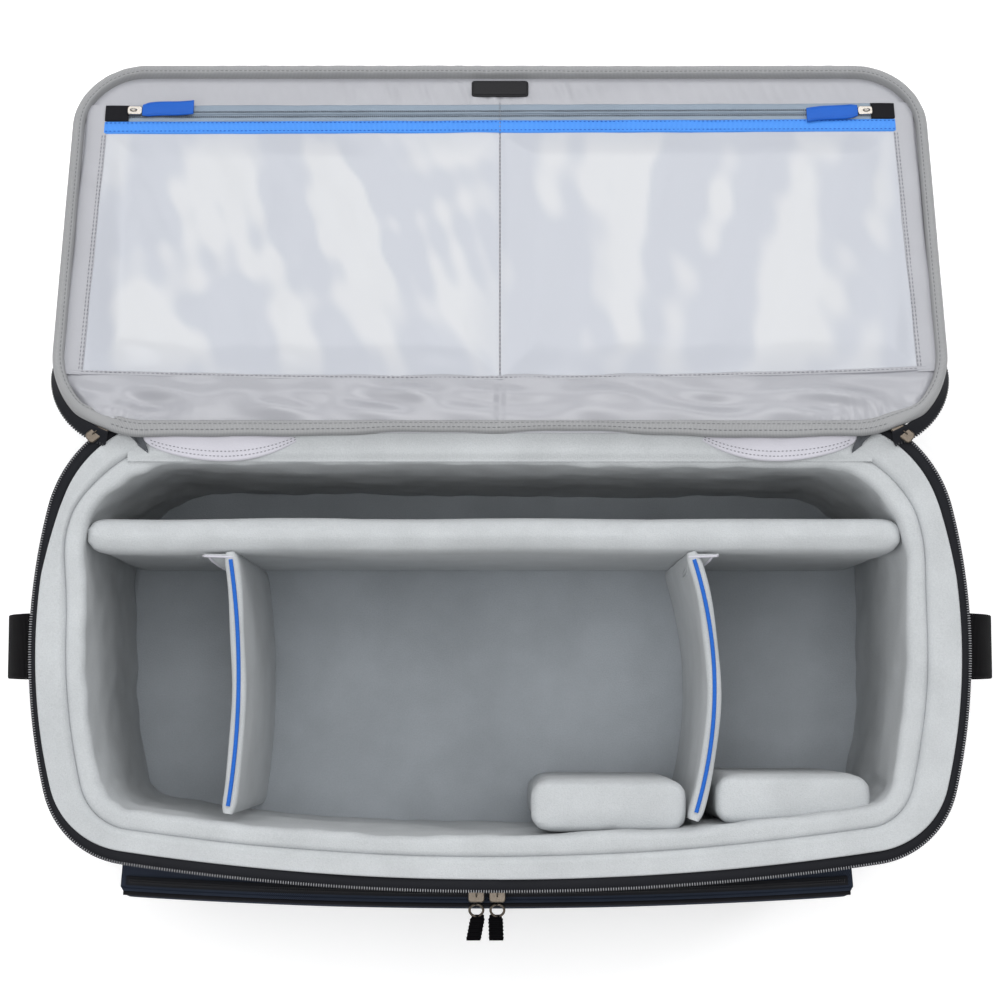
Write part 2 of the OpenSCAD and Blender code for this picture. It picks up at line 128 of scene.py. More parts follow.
@dataclass(frozen=True)
class Finish:
    """One real material: its colours, its weave and how it takes light.

    Attributes:
        name: The material's plain name.
        face: sRGB hex colour of the surface.
        deep: sRGB hex colour in the hollows between threads or fibres.
        weave: The pattern.
        pitch: Spacing of threads or fibres in metres.
        relief: Height of the pattern in metres.
        rough: Roughness.
        sheen: Amount of soft light from loose fibres at grazing angles.
        mottle: How much the colour varies over a hand's width, 0 to 1.
        gloss: Specular level of the shader.
        metal: Metallic value.
        coat: Weight of a clear glossy layer.
        opaque: Alpha.
        space: The coordinates that the pattern follows.
    """
    name: str
    face: str
    deep: str
    weave: Weave = Weave.PLAIN
    pitch: float = 1.2 * MM
    relief: float = 0.10 * MM
    rough: float = 0.8
    sheen: float = 0.0
    mottle: float = 0.06
    gloss: float = 0.3
    metal: float = 0.0
    coat: float = 0.0
    opaque: float = 1.0
    space: Space = Space.SURFACE

    def _pattern(self, tree: bpy.types.NodeTree,
                 coords: bpy.types.NodeSocket) -> bpy.types.NodeSocket:
        """Build the height pattern, from 0 in the hollows to 1 on the threads.

        Args:
            tree: The node tree.
            coords: Coordinates in metres.
        Returns:
            The socket that carries the height.
        """
        if self.weave in (Weave.FELT, Weave.NONE):
            fibres = add_node(tree, "TexNoise", {"Scale": 1 / self.pitch, "Detail": 5.0,
                                                 "Roughness": 0.62}, {"Vector": coords})
            return fibres.outputs["Fac"]
        axes = add_node(tree, "SeparateXYZ", links={0: coords})
        turn = 2 * math.pi / self.pitch
        across = add_node(tree, "Math", {"operation": "MULTIPLY", 1: turn}, {0: axes.outputs[0]})
        along = add_node(tree, "Math", {"operation": "MULTIPLY", 1: turn}, {0: axes.outputs[1]})
        if self.space is Space.OBJECT:
            up = add_node(tree, "Math", {"operation": "MULTIPLY", 1: turn}, {0: axes.outputs[2]})
            along = add_node(tree, "Math", {"operation": "ADD"},
                             {0: along.outputs[0], 1: up.outputs[0]})
        if self.weave is Weave.TWILL:
            across = add_node(tree, "Math", {"operation": "ADD"},
                              {0: across.outputs[0], 1: along.outputs[0]})
        wave = add_node(tree, "Math", {"operation": "SINE"}, {0: across.outputs[0]})
        if self.weave is Weave.PLAIN:
            other = add_node(tree, "Math", {"operation": "SINE"}, {0: along.outputs[0]})
            wave = add_node(tree, "Math", {"operation": "MULTIPLY"},
                            {0: wave.outputs[0], 1: other.outputs[0]})
        half = add_node(tree, "Math", {"operation": "MULTIPLY_ADD", 1: 0.5, 2: 0.5},
                        {0: wave.outputs[0]})
        return half.outputs[0]

    def material(self) -> bpy.types.Material:
        """Build the material, or return it if it has been built.

        Returns:
            The Blender material.
        """
        found = bpy.data.materials.get(self.name)
        if found:
            return found
        made = bpy.data.materials.new(self.name)
        made.use_nodes = True
        tree = made.node_tree
        shader = tree.nodes["Principled BSDF"]
        place = add_node(tree, "TexCoord")
        coords = place.outputs["UV" if self.space is Space.SURFACE else "Object"]
        height = self._pattern(tree, coords)
        # Slow mottling: cloth lies and fades unevenly over some centimetres.
        cloud = add_node(tree, "TexNoise", {"Scale": 22.0, "Detail": 3.0, "Roughness": 0.55},
                         {"Vector": place.outputs["Object"]})
        spread = add_node(tree, "MapRange", {"From Min": 0.35, "From Max": 0.65,
                                             "To Min": 1 - self.mottle, "To Max": 1 + self.mottle},
                          {"Value": cloud.outputs["Fac"]})
        colour = add_node(tree, "Mix", {"data_type": "RGBA", 6: linear(self.deep),
                                        7: linear(self.face)}, {0: height})
        shaded = add_node(tree, "VectorMath", {"operation": "SCALE"},
                          {0: colour.outputs[2], "Scale": spread.outputs[0]})
        tree.links.new(shaded.outputs[0], shader.inputs["Base Color"])
        bump = add_node(tree, "Bump", {"Strength": 1.0, "Distance": self.relief},
                        {"Height": height})
        tree.links.new(bump.outputs[0], shader.inputs["Normal"])
        shader.inputs["Roughness"].default_value = self.rough
        shader.inputs["Metallic"].default_value = self.metal
        shader.inputs["Specular IOR Level"].default_value = self.gloss
        shader.inputs["Sheen Weight"].default_value = self.sheen
        shader.inputs["Sheen Roughness"].default_value = 0.5
        shader.inputs["Coat Weight"].default_value = self.coat
        shader.inputs["Coat Roughness"].default_value = 0.12
        shader.inputs["Alpha"].default_value = self.opaque
        made.diffuse_color = linear(self.face)
        return made


# Brushed loop felt: soft, matt, with a nap of short fibres that lightens at grazing angles.
FELT = Finish("brushed_felt", "c7cacc", "a5a9ac", Weave.FELT, 1.1 * MM, 0.45 * MM, 0.95, 0.12, 0.05,
              space=Space.OBJECT)
# The same felt on the floor pad, flattened by use, with painted shade: its colour is darker for the
# shade deep in the case.
SHADED_FLOOR_FELT = Finish("pressed_felt", "b4b9be", "9aa0a6", Weave.FELT, 1.3 * MM, 0.3 * MM, 0.95, 0.1,
                    0.05)
# Satin nylon lining: fine filament yarn that shines softly along its creases.
SATIN = Finish("satin_nylon", "a8a9af", "929399", Weave.PLAIN, 0.9 * MM, 0.03 * MM, 0.30, 0.0, 0.02,
               0.6)
# Lilac-grey poplin of the hinge flaps.
POPLIN = Finish("poplin", "cdccd3", "b6b5bf", Weave.PLAIN, 1.0 * MM, 0.05 * MM, 0.6, 0.1, 0.02)
# The same poplin painted dark, as painted shade where it lies deep in its folds.
SHADED_POPLIN = Finish("folded_poplin", "5b5e63", "45484c", Weave.PLAIN, 1.0 * MM, 0.05 * MM, 0.8, 0.0, 0.05)
# Polyester binding tape with a fine rib.
BINDING = Finish("binding_tape", "979899", "87888a", Weave.RIB, 1.1 * MM, 0.05 * MM, 0.6, 0.05,
                 0.03)
# Coated nylon of the outside: tight twill, dark navy, a little gloss on the yarns.
TWILL = Finish("coated_twill", "343c4c", "161b25", Weave.TWILL, 1.6 * MM, 0.16 * MM, 0.6, 0.0, 0.08,
               0.12)
# Plain weave pack cloth of the base and tabs.
PACK_CLOTH = Finish("pack_cloth", "202024", "0e0e11", Weave.PLAIN, 1.4 * MM, 0.14 * MM, 0.65, 0.0,
                    0.08, 0.1)
PACK_CLOTH_CAD = Finish("pack_cloth_flat", "202024", "0e0e11", Weave.PLAIN, 1.4 * MM, 0.14 * MM,
                        0.65, 0.0, 0.08, 0.1, space=Space.OBJECT)
# Nylon webbing: thick ribs across the strap.
WEBBING = Finish("nylon_webbing", "0d0c0f", "050506", Weave.RIB, 1.7 * MM, 0.30 * MM, 0.7, 0.0,
                 0.06, 0.04)
# Woven zip tape of the rim and its moulded coil.
ZIP_TAPE = Finish("dark_zip_tape", "26272c", "121316", Weave.TWILL, 1.0 * MM, 0.08 * MM, 0.65, 0.0,
                  0.05, 0.1)
ZIP_COIL = Finish("nylon_coil", "2f3035", "1c1d20", Weave.NONE, 0.6 * MM, 0.02 * MM, 0.26, 0.0,
                  0.05, 0.7)
# The rim's coil, painted light grey for the glints of light on its crests: a painted highlight.
RIM_COIL_PAINTED_GLINT = Finish("worn_nylon_coil", "a9aaad", "6a6b70", Weave.NONE, 0.6 * MM, 0.02 * MM, 0.25, 0.0,
                  0.05, 0.8)
# Grey-blue zip of the lid pocket.
PALE_TAPE = Finish("pale_zip_tape", "93a0ae", "75828f", Weave.TWILL, 0.9 * MM, 0.06 * MM, 0.6, 0.0,
                   0.03)
PALE_COIL = Finish("pale_coil", "46505b", "333b45", Weave.NONE, 0.6 * MM, 0.02 * MM, 0.3, 0.0, 0.04,
                   0.6)
# Grosgrain trim, strong light blue.
GROSGRAIN = Finish("blue_grosgrain", "4f96e8", "317ad6", Weave.RIB, 1.0 * MM, 0.10 * MM, 0.55, 0.05,
                   0.02)
# Coated fabric of the zip pulls.
PULL_CLOTH = Finish("blue_pull_cloth", "1160c6", "094a9e", Weave.PLAIN, 0.9 * MM, 0.08 * MM, 0.5,
                    0.0, 0.03)
# Blue binding of the dividers' tops.
EDGE_BLUE = Finish("blue_edge_tape", "1767c6", "0c4fa6", Weave.RIB, 1.0 * MM, 0.10 * MM, 0.6, 0.0,
                   0.03)
# Plated zinc of the sliders, antiqued dark.
ANTIQUE = Finish("antique_plated_zinc", "6f675e", "4a433c", Weave.NONE, 2.0 * MM, 0.02 * MM, 0.3,
                 0.0, 0.10, 0.5, 1.0)
NICKEL = Finish("nickel_plated_zinc", "b9b4ad", "8f8a84", Weave.NONE, 2.0 * MM, 0.02 * MM, 0.22,
                0.0, 0.08, 0.5, 1.0)


@dataclass(frozen=True)
class Film(Finish):
    """Clear vinyl, whose colour is lightened in painted streaks that stand for reflections of the
    soft light in its ripples; the streaks follow a point attribute.

    Attributes:
        milky: sRGB hex colour of the painted reflection streaks.
    """
    milky: str = "e1e3e6"

    def material(self) -> bpy.types.Material:
        """Build the material, or return it if it has been built.

        Returns:
            The Blender material.
        """
        found = bpy.data.materials.get(self.name)
        if found:
            return found
        made = super().material()
        # Painted reflection: the film's colour turns lighter in streaks, following a point
        # attribute.
        haze = add_node(made.node_tree, "Attribute", {"attribute_name": "haze"})
        colour = add_node(made.node_tree, "Mix", {"data_type": "RGBA", 6: linear(self.face),
                                                  7: linear(self.milky)}, {0: haze.outputs["Fac"]})
        shader = made.node_tree.nodes["Principled BSDF"]
        made.node_tree.links.new(colour.outputs[2], shader.inputs["Base Color"])
        return made


# Clear flexible vinyl: glossy, with lighter streaks painted in its colour as painted reflections of
# the soft light in its ripples.
VINYL = Film("clear_vinyl", "cdd1da", "cdd1da", Weave.NONE, 60 * MM, 0.0, 0.16, 0.0, 0.0, 0.4, 0.0,
             0.0, 0.62)
# Moulded rubber of the blank patch.
RUBBER = Finish("moulded_rubber", "232326", "18181a", Weave.NONE, 0.8 * MM, 0.03 * MM, 0.55, 0.0,
                0.03, 0.2)
# Pressed fibre board under the floor.
BOARD = Finish("pressed_board", "34343a", "26262a", Weave.FELT, 2.5 * MM, 0.05 * MM, 0.7, 0.0, 0.06,
               space=Space.OBJECT)
# Sewing threads.
THREAD_PALE = Finish("pale_thread", "8d8e93", "77787d", Weave.NONE, 0.5 * MM, 0.02 * MM, 0.6)
THREAD_GREY = Finish("grey_thread", "77787c", "606165", Weave.NONE, 0.5 * MM, 0.02 * MM, 0.6)
THREAD_BLUE = Finish("blue_thread", "1f5fc4", "174fa8", Weave.NONE, 0.5 * MM, 0.02 * MM, 0.6)
THREAD_DARK = Finish("dark_thread", "141417", "0b0b0d", Weave.NONE, 0.5 * MM, 0.02 * MM, 0.6,
                     gloss=0.1)


# ---------------------------------------------------------------- shapes

@dataclass
class Shape:
    """Points, four-cornered faces and a UV for each face corner, in metres."""
    points: Array
    faces: Array
    uvs: Array

    def moved(self, place: Callable[[Array], Array]) -> "Shape":
        """Return the shape with its points sent through place."""
        return Shape(place(self.points), self.faces, self.uvs)

    def flipped(self) -> "Shape":
        """Return the shape with its faces turned over."""
        return Shape(self.points, self.faces[:, ::-1], self.uvs[:, ::-1])


def stack(shapes: Sequence[Shape]) -> Shape:
    """Join shapes into one.

    Args:
        shapes: The shapes, in order.
    Returns:
        One shape with all their points and faces.
    """
    starts = np.cumsum([0] + [len(s.points) for s in shapes[:-1]])
    return Shape(np.concatenate([s.points for s in shapes]),
                 np.concatenate([s.faces + k for s, k in zip(shapes, starts)]),
                 np.concatenate([s.uvs for s in shapes]))


def grid(points: Array, loop_rows: bool = False, loop_cols: bool = False,
         uv: Array | None = None) -> Shape:
    """Make a surface from a grid of points.

    A face joins each point to its neighbours along the rows and columns. UVs are the distances
    travelled along the middle row and the middle column.

    Args:
        points: Rows by columns by 3.
        loop_rows: Whether the last row joins the first.
        loop_cols: Whether the last column joins the first.
        uv: Rows by columns by 2, in metres, where the pattern follows something else.
    Returns:
        The surface.
    """
    m, n = points.shape[:2]
    rows, cols = (m if loop_rows else m - 1), (n if loop_cols else n - 1)
    if uv is None:
        wide = np.concatenate([points, points[:1]]) if loop_rows else points
        wide = np.concatenate([wide, wide[:, :1]], axis=1) if loop_cols else wide
        down = np.linalg.norm(np.diff(wide[:, n // 2], axis=0), axis=1)
        over = np.linalg.norm(np.diff(wide[m // 2], axis=0), axis=1)
        u = np.concatenate([[0], np.cumsum(down)])
        v = np.concatenate([[0], np.cumsum(over)])
        uv = np.stack(np.meshgrid(u, v, indexing="ij"), axis=-1)
    i, j = (a.ravel() for a in np.meshgrid(np.arange(rows), np.arange(cols), indexing="ij"))
    i1, j1 = (i + 1) % m, (j + 1) % n
    faces = np.stack([i * n + j, i1 * n + j, i1 * n + j1, i * n + j1], axis=1)
    ui, vi = np.minimum(i + 1, uv.shape[0] - 1), np.minimum(j + 1, uv.shape[1] - 1)
    uvs = np.stack([uv[i, j], uv[ui, j], uv[ui, vi], uv[i, vi]], axis=1)
    return Shape(points.reshape(-1, 3), faces, uvs)


def cap(ring: Array, outward: bool = True) -> Shape:
    """Close a ring of points with a fan to its middle.

    Args:
        ring: Points by 3, in order round the ring.
        outward: Whether the ring runs anticlockwise seen from outside.
    Returns:
        The fan, each face a quad over two edges of the ring.
    """
    n = len(ring)
    middle = ring.mean(axis=0)
    points = np.concatenate([ring, middle[None]])
    i = np.arange(0, n - n % 2, 2)
    faces = np.stack([np.full_like(i, n), i, i + 1, (i + 2) % n], axis=1)
    if n % 2:
        last = np.array([[n, n - 1, 0, 0]])
        faces = np.concatenate([faces[:-1], faces[-1:], last])
        faces[-2, 3] = n - 1
    flat = points - middle
    uvs = np.stack([flat[faces][..., 0] + flat[faces][..., 2], flat[faces][..., 1]], axis=-1)
    shape = Shape(points, faces, uvs)
    return shape if outward else shape.flipped()


def tube(points: Array) -> Shape:
    """A surface round a row of rings, closed at both ends.

    Args:
        points: Rings by points by 3, each ring anticlockwise seen from the first end.
    Returns:
        The closed surface.
    """
    return stack([grid(points, False, True), cap(points[0], False), cap(points[-1], True)])


def circle(n: int) -> Array:
    """Angles evenly round a full turn, n of them, in radians."""
    return 2 * np.pi * np.arange(n) / n


def smooth_step(t: Array) -> Array:
    """Values from 0 to 1 that start and end level."""
    return t * t * (3 - 2 * t)


def follow(where: Array, s: Array, values: Array) -> Array:
    """Values along a path, read at other distances.

    Args:
        where: The distances to read at.
        s: Distance along the path of each given value.
        values: The given values, one row for each point of the path.
    Returns:
        One row for each distance.
    """
    return np.stack([np.interp(where, s, column) for column in values.T], axis=1)


def level(points: Array, height: float) -> Array:
    """Flat points, n by 2, lifted to one height."""
    return np.concatenate([points, np.full((len(points), 1), height)], axis=1)


def build(name: str, shape: Shape, finish: Finish, body: str, slot: str,
          replaces: Sequence[str] = (), smooth: bool = True) -> bpy.types.Object:
    """Put a shape into a mesh object that moves with a body.

    Args:
        name: The piece's name.
        shape: Its surface.
        finish: Its material.
        body: The body it moves with.
        slot: The record's material slot; not used.
        replaces: CAD nodes that it stands for.
        smooth: Whether its faces are shaded smooth.
    Returns:
        The new object, at the origin.
    """
    mesh = bpy.data.meshes.new(name)
    rows = [list(dict.fromkeys(f)) for f in shape.faces.tolist()]
    mesh.from_pydata(shape.points.tolist(), [], rows)
    layer = mesh.uv_layers.new(name="UVMap")
    keep = np.array([[True] + [f[k] not in f[:k] for k in (1, 2, 3)] for f in shape.faces.tolist()])
    layer.data.foreach_set("uv", shape.uvs[keep].astype(np.float32).ravel())
    mesh.materials.append(finish.material())
    mesh.shade_smooth() if smooth else mesh.shade_flat()
    mesh.validate()
    piece = bpy.data.objects.new(name, mesh)
    bpy.context.scene.collection.objects.link(piece)
    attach(piece, body)
    if replaces:
        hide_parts(*replaces)
    LOG.info("%s: %d points", name, len(mesh.vertices))
    return piece


def arc(cx: float, cy: float, r: float, a0: float, a1: float, n: int,
        whole: bool = False) -> tuple[Array, Array]:
    """Points and outward normals along an arc.

    Args:
        cx, cy: The centre.
        r: The radius.
        a0, a1: First and last angle in degrees.
        n: Number of steps.
        whole: Whether the last point is kept.
    Returns:
        Points and normals, n of each, or one more where the last is kept.
    """
    a = np.radians(a0 + (a1 - a0) * np.arange(n + whole) / n)
    normal = np.stack([np.cos(a), np.sin(a)], axis=1)
    return np.array([cx, cy]) + r * normal, normal


@dataclass
class Loop:
    """A flat path with outward normals."""
    points: Array
    normals: Array
    closed: bool = True

    def at(self, inset: Array | float) -> Array:
        """The path moved inwards by inset, a number or one for each point."""
        return self.points - np.asarray(inset)[..., None] * self.normals

    def length(self) -> Array:
        """Distance along the path to each point."""
        step = np.linalg.norm(np.diff(self.points, axis=0), axis=1)
        return np.concatenate([[0], np.cumsum(step)])

    def part(self, keep: Array) -> "Loop":
        """The one stretch of the path where keep is true, rolled so that it starts there."""
        first = int(np.flatnonzero(keep & ~np.roll(keep, 1))[0])
        order = np.roll(np.arange(len(keep)), -first)
        order = order[keep[order]]
        return Loop(self.points[order], self.normals[order], False)


def joined_loop(pieces: Sequence[tuple[Array, Array]]) -> Loop:
    """Join stretches end to end into a closed loop.

    Args:
        pieces: Points and normals of each stretch.
    Returns:
        The loop.
    """
    return Loop(np.concatenate([p for p, _ in pieces]), np.concatenate([n for _, n in pieces]))


def rounded(x0: float, x1: float, y0: float, y1: float, radii: Sequence[float],
            step: float = 3 * MM, turn: int = 6) -> Array:
    """A closed section: a rectangle with its corners rounded, with points evenly along it.

    Args:
        x0, x1, y0, y1: The rectangle.
        radii: Radius at the corners (x1, y0), (x1, y1), (x0, y1), (x0, y0).
        step: Spacing along the straight stretches.
        turn: Steps round each corner.
    Returns:
        Points by 2, anticlockwise.
    """
    corners = [(x1, y0, -1, 1, -90), (x1, y1, -1, -1, 0), (x0, y1, 1, -1, 90), (x0, y0, 1, 1, 180)]
    rings = []
    for (x, y, sx, sy, start), r in zip(corners, radii):
        a = np.radians(start + 90 * np.arange(turn + 1) / turn)
        rings.append(np.stack([x + sx * r + r * np.cos(a), y + sy * r + r * np.sin(a)], axis=1))
    out = []
    for k, ring in enumerate(rings):
        out.append(ring)
        a, b = ring[-1], rings[(k + 1) % 4][0]
        n = max(1, int(np.linalg.norm(b - a) / step))
        out.append(a + (b - a) * (np.arange(1, n) / n)[:, None])
    return np.concatenate(out)


def carry(loop: Loop, section: Array, place: Callable[[Array, Array], Array] | None = None,
          closed_section: bool = True,
          stir: Callable[[Array, Array], Array] | None = None) -> Shape:
    """Carry a section along a loop.

    Each point of the result is the loop's point moved inwards by the section's first value, at
    the height of its second value.

    Args:
        loop: The path.
        section: Points by 2: inset and height.
        place: Turns flat points and heights into space; by default x, y and z as they are.
        closed_section: Whether the section is a closed outline.
        stir: Takes distance along the loop and the section's row number, as grids, and returns
            small extra insets and heights.
    Returns:
        The surface, with its ends closed where the loop is open.
    """
    inset = np.broadcast_to(section[None, :, 0], (len(loop.points), len(section))).copy()
    height = np.broadcast_to(section[None, :, 1], inset.shape).copy()
    if stir is not None:
        s, t = np.meshgrid(loop.length(), np.arange(len(section)), indexing="ij")
        extra = stir(s, t)
        inset += extra[..., 0]
        height += extra[..., 1]
    flat = loop.points[:, None] - inset[..., None] * loop.normals[:, None]
    points = (place or upright)(flat, height)
    shape = grid(points, loop.closed, closed_section)
    if loop.closed or not closed_section:
        return shape
    return stack([shape, cap(points[0], False), cap(points[-1], True)])


def upright(flat: Array, height: Array) -> Array:
    """Flat points and heights as x, y and z."""
    return np.concatenate([flat, height[..., None]], axis=-1)


def noise(a: Array, b: Array, size: float, seed: int, waves: int = 9) -> Array:
    """Smooth random values over a plane: a sum of waves in random directions.

    Args:
        a, b: Coordinates in metres.
        size: Typical width of a bump in metres.
        seed: Seed of the random directions.
        waves: Number of waves.
    Returns:
        Values from about -1 to 1.
    """
    rng = np.random.default_rng(seed)
    total = np.zeros(np.broadcast(a, b).shape)
    for turn, phase, scale in zip(rng.uniform(0, np.pi, waves), rng.uniform(0, 2 * np.pi, waves),
                                  rng.uniform(0.6, 1.7, waves)):
        k = 2 * np.pi / (2 * size) * scale
        total = total + np.cos(k * (a * np.cos(turn) + b * np.sin(turn)) + phase)
    return total / math.sqrt(waves) / 1.2


def copies(template: Shape, at: Array, x: Array, y: Array, z: Array) -> Shape:
    """Place a copy of a small shape at each of many points, all at once.

    Args:
        template: The shape, about the origin.
        at: The places, n by 3.
        x, y, z: What the template's axes become at each place, n by 3.
    Returns:
        One shape with all the copies.
    """
    t, n = template.points, len(at)
    points = (at[:, None] + t[None, :, :1] * x[:, None] + t[None, :, 1:2] * y[:, None]
              + t[None, :, 2:] * z[:, None]).reshape(-1, 3)
    faces = (template.faces[None] + len(t) * np.arange(n)[:, None, None]).reshape(-1, 4)
    return Shape(points, faces, np.tile(template.uvs, (n, 1, 1)))


def bead(length: float, width: float, height: float, around: int = 6, along: int = 4) -> Shape:
    """A small rounded bar about the origin, long along X.

    Its radius follows the square root of a sine, which gives it blunt ends.

    Args:
        length, width, height: Its size.
        around: Points round it.
        along: Steps along it.
    Returns:
        The bar.
    """
    t = np.linspace(0.06, 0.94, along + 1)
    r = np.sqrt(np.sin(np.pi * t))
    a = circle(around)
    x = np.broadcast_to(((t - 0.5) * length)[:, None], (along + 1, around))
    ring = r[:, None] * np.stack([width / 2 * np.cos(a), height / 2 * np.sin(a)])[:, None]
    points = np.stack([x, *ring], axis=-1)
    return tube(points)


def slab(x0: float, x1: float, y0: float, y1: float, z0: float, z1: float, r: float) -> Shape:
    """A flat plate with rounded corners and softened edges, in place.

    Args:
        x0, x1, y0, y1, z0, z1: Its box.
        r: Radius of the corners seen from above.
    Returns:
        The plate.
    """
    edge = min(r, (z1 - z0) / 2) * 0.7
    steps = [(edge, z0), (0.3 * edge, z0 + 0.3 * edge), (0.0, z0 + edge), (0.0, z1 - edge),
              (0.3 * edge, z1 - 0.3 * edge), (edge, z1)]
    rings = []
    for inset, z in steps:
        ring = rounded(x0 + inset, x1 - inset, y0 + inset, y1 - inset,
                       [max(r - inset, 0.1 * MM)] * 4, 1.0, 5)
        rings.append(level(ring, z))
    points = np.array(rings)
    side = grid(points, False, True).flipped()
    return stack([side, cap(points[0], False), cap(points[-1], True)])


def stitches(path: Array, up: Array, pitch: float = 4.2 * MM, share: float = 0.72,
             thick: float = 0.8 * MM) -> Shape:
    """A row of stitches along a line in space.

    Args:
        path: Points by 3.
        up: The surface's outward direction, one for all or one for each point.
        pitch: Distance from stitch to stitch.
        share: Part of the pitch that a stitch covers.
        thick: Thickness of the thread.
    Returns:
        The stitches.
    """
    step = np.linalg.norm(np.diff(path, axis=0), axis=1)
    s = np.concatenate([[0], np.cumsum(step)])
    where = np.arange(pitch / 2, s[-1], pitch)
    x = follow(where + pitch / 3, s, path) - follow(where - pitch / 3, s, path)
    x /= np.linalg.norm(x, axis=1, keepdims=True)
    ups = np.broadcast_to(up, path.shape)
    z = follow(where, s, ups)
    y = np.cross(z, x)
    y /= np.linalg.norm(y, axis=1, keepdims=True)
    z = np.cross(x, y)
    return copies(bead(pitch * share, thick, thick * 0.8), follow(where, s, path), x, y, z)


def puff(piece: bpy.types.Object, voxel: float, pressure: float, cap_m: float,
         frames: int = 18) -> None:
    """Swell a pad with the cloth solver and keep the result.

    The mesh is remeshed evenly, blown up with air pressure and no gravity, and no point may move
    further than cap_m.

    Args:
        piece: The pad.
        voxel: Remesh size in metres.
        pressure: Air pressure of the cloth solver.
        cap_m: Furthest that a point may move.
        frames: Number of steps.
    """
    scene = bpy.context.scene
    remesh = piece.modifiers.new("remesh", "REMESH")
    remesh.mode = "VOXEL"
    remesh.voxel_size = voxel
    remesh.use_smooth_shade = True
    graph = bpy.context.evaluated_depsgraph_get()
    even = bpy.data.meshes.new_from_object(piece.evaluated_get(graph))
    piece.modifiers.clear()
    worker = bpy.data.objects.new("worker", even)
    scene.collection.objects.link(worker)
    start = np.empty(len(even.vertices) * 3, np.float32)
    even.vertices.foreach_get("co", start)
    cloth = worker.modifiers.new("cloth", "CLOTH")
    cloth.settings.use_pressure = True
    cloth.settings.uniform_pressure_force = pressure
    cloth.settings.effector_weights.gravity = 0.0
    cloth.settings.quality = 5
    cloth.settings.mass = 0.3
    cloth.settings.tension_stiffness = 20
    cloth.settings.compression_stiffness = 20
    cloth.settings.bending_stiffness = 8
    cloth.point_cache.frame_start = 1
    cloth.point_cache.frame_end = frames + 1
    for step in range(1, frames + 1):
        scene.frame_set(step)
    graph = bpy.context.evaluated_depsgraph_get()
    done = bpy.data.meshes.new_from_object(worker.evaluated_get(graph))
    scene.frame_set(1)
    end = np.empty_like(start)
    done.vertices.foreach_get("co", end)
    move = (end - start).reshape(-1, 3)
    far = np.linalg.norm(move, axis=1, keepdims=True)
    move *= np.minimum(1.0, cap_m / np.maximum(far, 1e-9))
    even.vertices.foreach_set("co", (start.reshape(-1, 3) + move).ravel())
    old = piece.data
    materials = list(old.materials)
    bpy.data.objects.remove(worker)
    piece.data = even
    even.materials.clear()
    for material in materials:
        even.materials.append(material)
    even.shade_smooth()
    round_off = piece.modifiers.new("subdivision", "SUBSURF")
    round_off.levels = round_off.render_levels = 1
    bpy.data.meshes.remove(done)
    bpy.data.meshes.remove(old)


# ---------------------------------------------------------------- driving shapes

@dataclass
class Rim:
    """The case's outline at its rim: four long curves joined by corner arcs.

    Attributes:
        half_w: Half width out to the zip teeth.
        front, back: Distance from the middle to the front and back of the teeth.
        top: Height of the rim.
        floor: Height of the floor felt.
        side_r, front_r: Radii of the long curves.
        rear_corner, front_corner: Radii of the corners.
        tape, foam, liner, shell: Widths of the rings inwards from the teeth.
    """
    half_w: float
    front: float
    back: float
    top: float
    floor: float
    side_r: float = 458 * MM
    front_r: float = 1928 * MM
    rear_corner: float = 100 * MM
    front_corner: float = 70 * MM
    tape: float = 9.5 * MM
    foam: float = 22 * MM
    liner: float = 14 * MM
    shell: float = 2.5 * MM

    @classmethod
    def from_frame(cls) -> "Rim":
        """Read the outline's sizes from the CAD foam walls and floor pad."""
        side, front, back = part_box("foam_right"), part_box("foam_front"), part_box("foam_back")
        tape = 9.5 * MM
        return cls(side[1][0] + tape, -front[0][1] + tape, back[1][1] + tape, side[1][2],
                   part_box("floor_pad")[1][2])

    def corner(self) -> tuple[float, float, float]:
        """Centre of the rear corner arc and the angle where it starts."""
        cx = self.half_w - self.side_r
        y = self.back - self.rear_corner
        x = cx + math.sqrt((self.side_r - self.rear_corner) ** 2 - y ** 2)
        return x, y, math.degrees(math.atan2(y, x - cx))

    def loop(self, step: float = 4 * MM) -> Loop:
        """The outline at the zip teeth, from the middle of the front, anticlockwise.

        Args:
            step: Spacing of the points.
        Returns:
            The closed loop.
        """
        cx, cy = self.half_w - self.side_r, self.front_r - self.front
        rx, ry, r_start = self.corner()
        gap = math.hypot(cx, cy)
        a, b = self.side_r - self.front_corner, self.front_r - self.front_corner
        along = (a * a - b * b + gap * gap) / (2 * gap)
        across = math.sqrt(a * a - along * along)
        ux, uy = -cx / gap, cy / gap
        fx, fy = cx + along * ux + across * uy, along * uy - across * ux
        f_end = math.degrees(math.atan2(fy - cy, fx))
        s_start = math.degrees(math.atan2(fy, fx - cx))

        def steps(r: float, a0: float, a1: float) -> int:
            """Number of steps along an arc."""
            return max(3, round(abs(math.radians(a1 - a0)) * r / step))

        right = [
            arc(0, cy, self.front_r, -90, f_end, steps(self.front_r, -90, f_end)),
            arc(fx, fy, self.front_corner, f_end, s_start,
                steps(self.front_corner, f_end, s_start)),
            arc(cx, 0, self.side_r, s_start, r_start, steps(self.side_r, s_start, r_start)),
            arc(rx, ry, self.rear_corner, r_start, 90, steps(self.rear_corner, r_start, 90)),
        ]
        n = max(3, round(rx / step))
        back = np.stack([rx - rx * np.arange(n) / n, np.full(n, self.back)], axis=1)
        right.append((back, np.tile([0.0, 1.0], (n, 1))))
        half = joined_loop(right)
        flip = np.array([-1.0, 1.0])
        points = np.concatenate([half.points, [[0.0, self.back]], half.points[:0:-1] * flip])
        normals = np.concatenate([half.normals, [[0.0, 1.0]], half.normals[:0:-1] * flip])
        return Loop(points, normals)


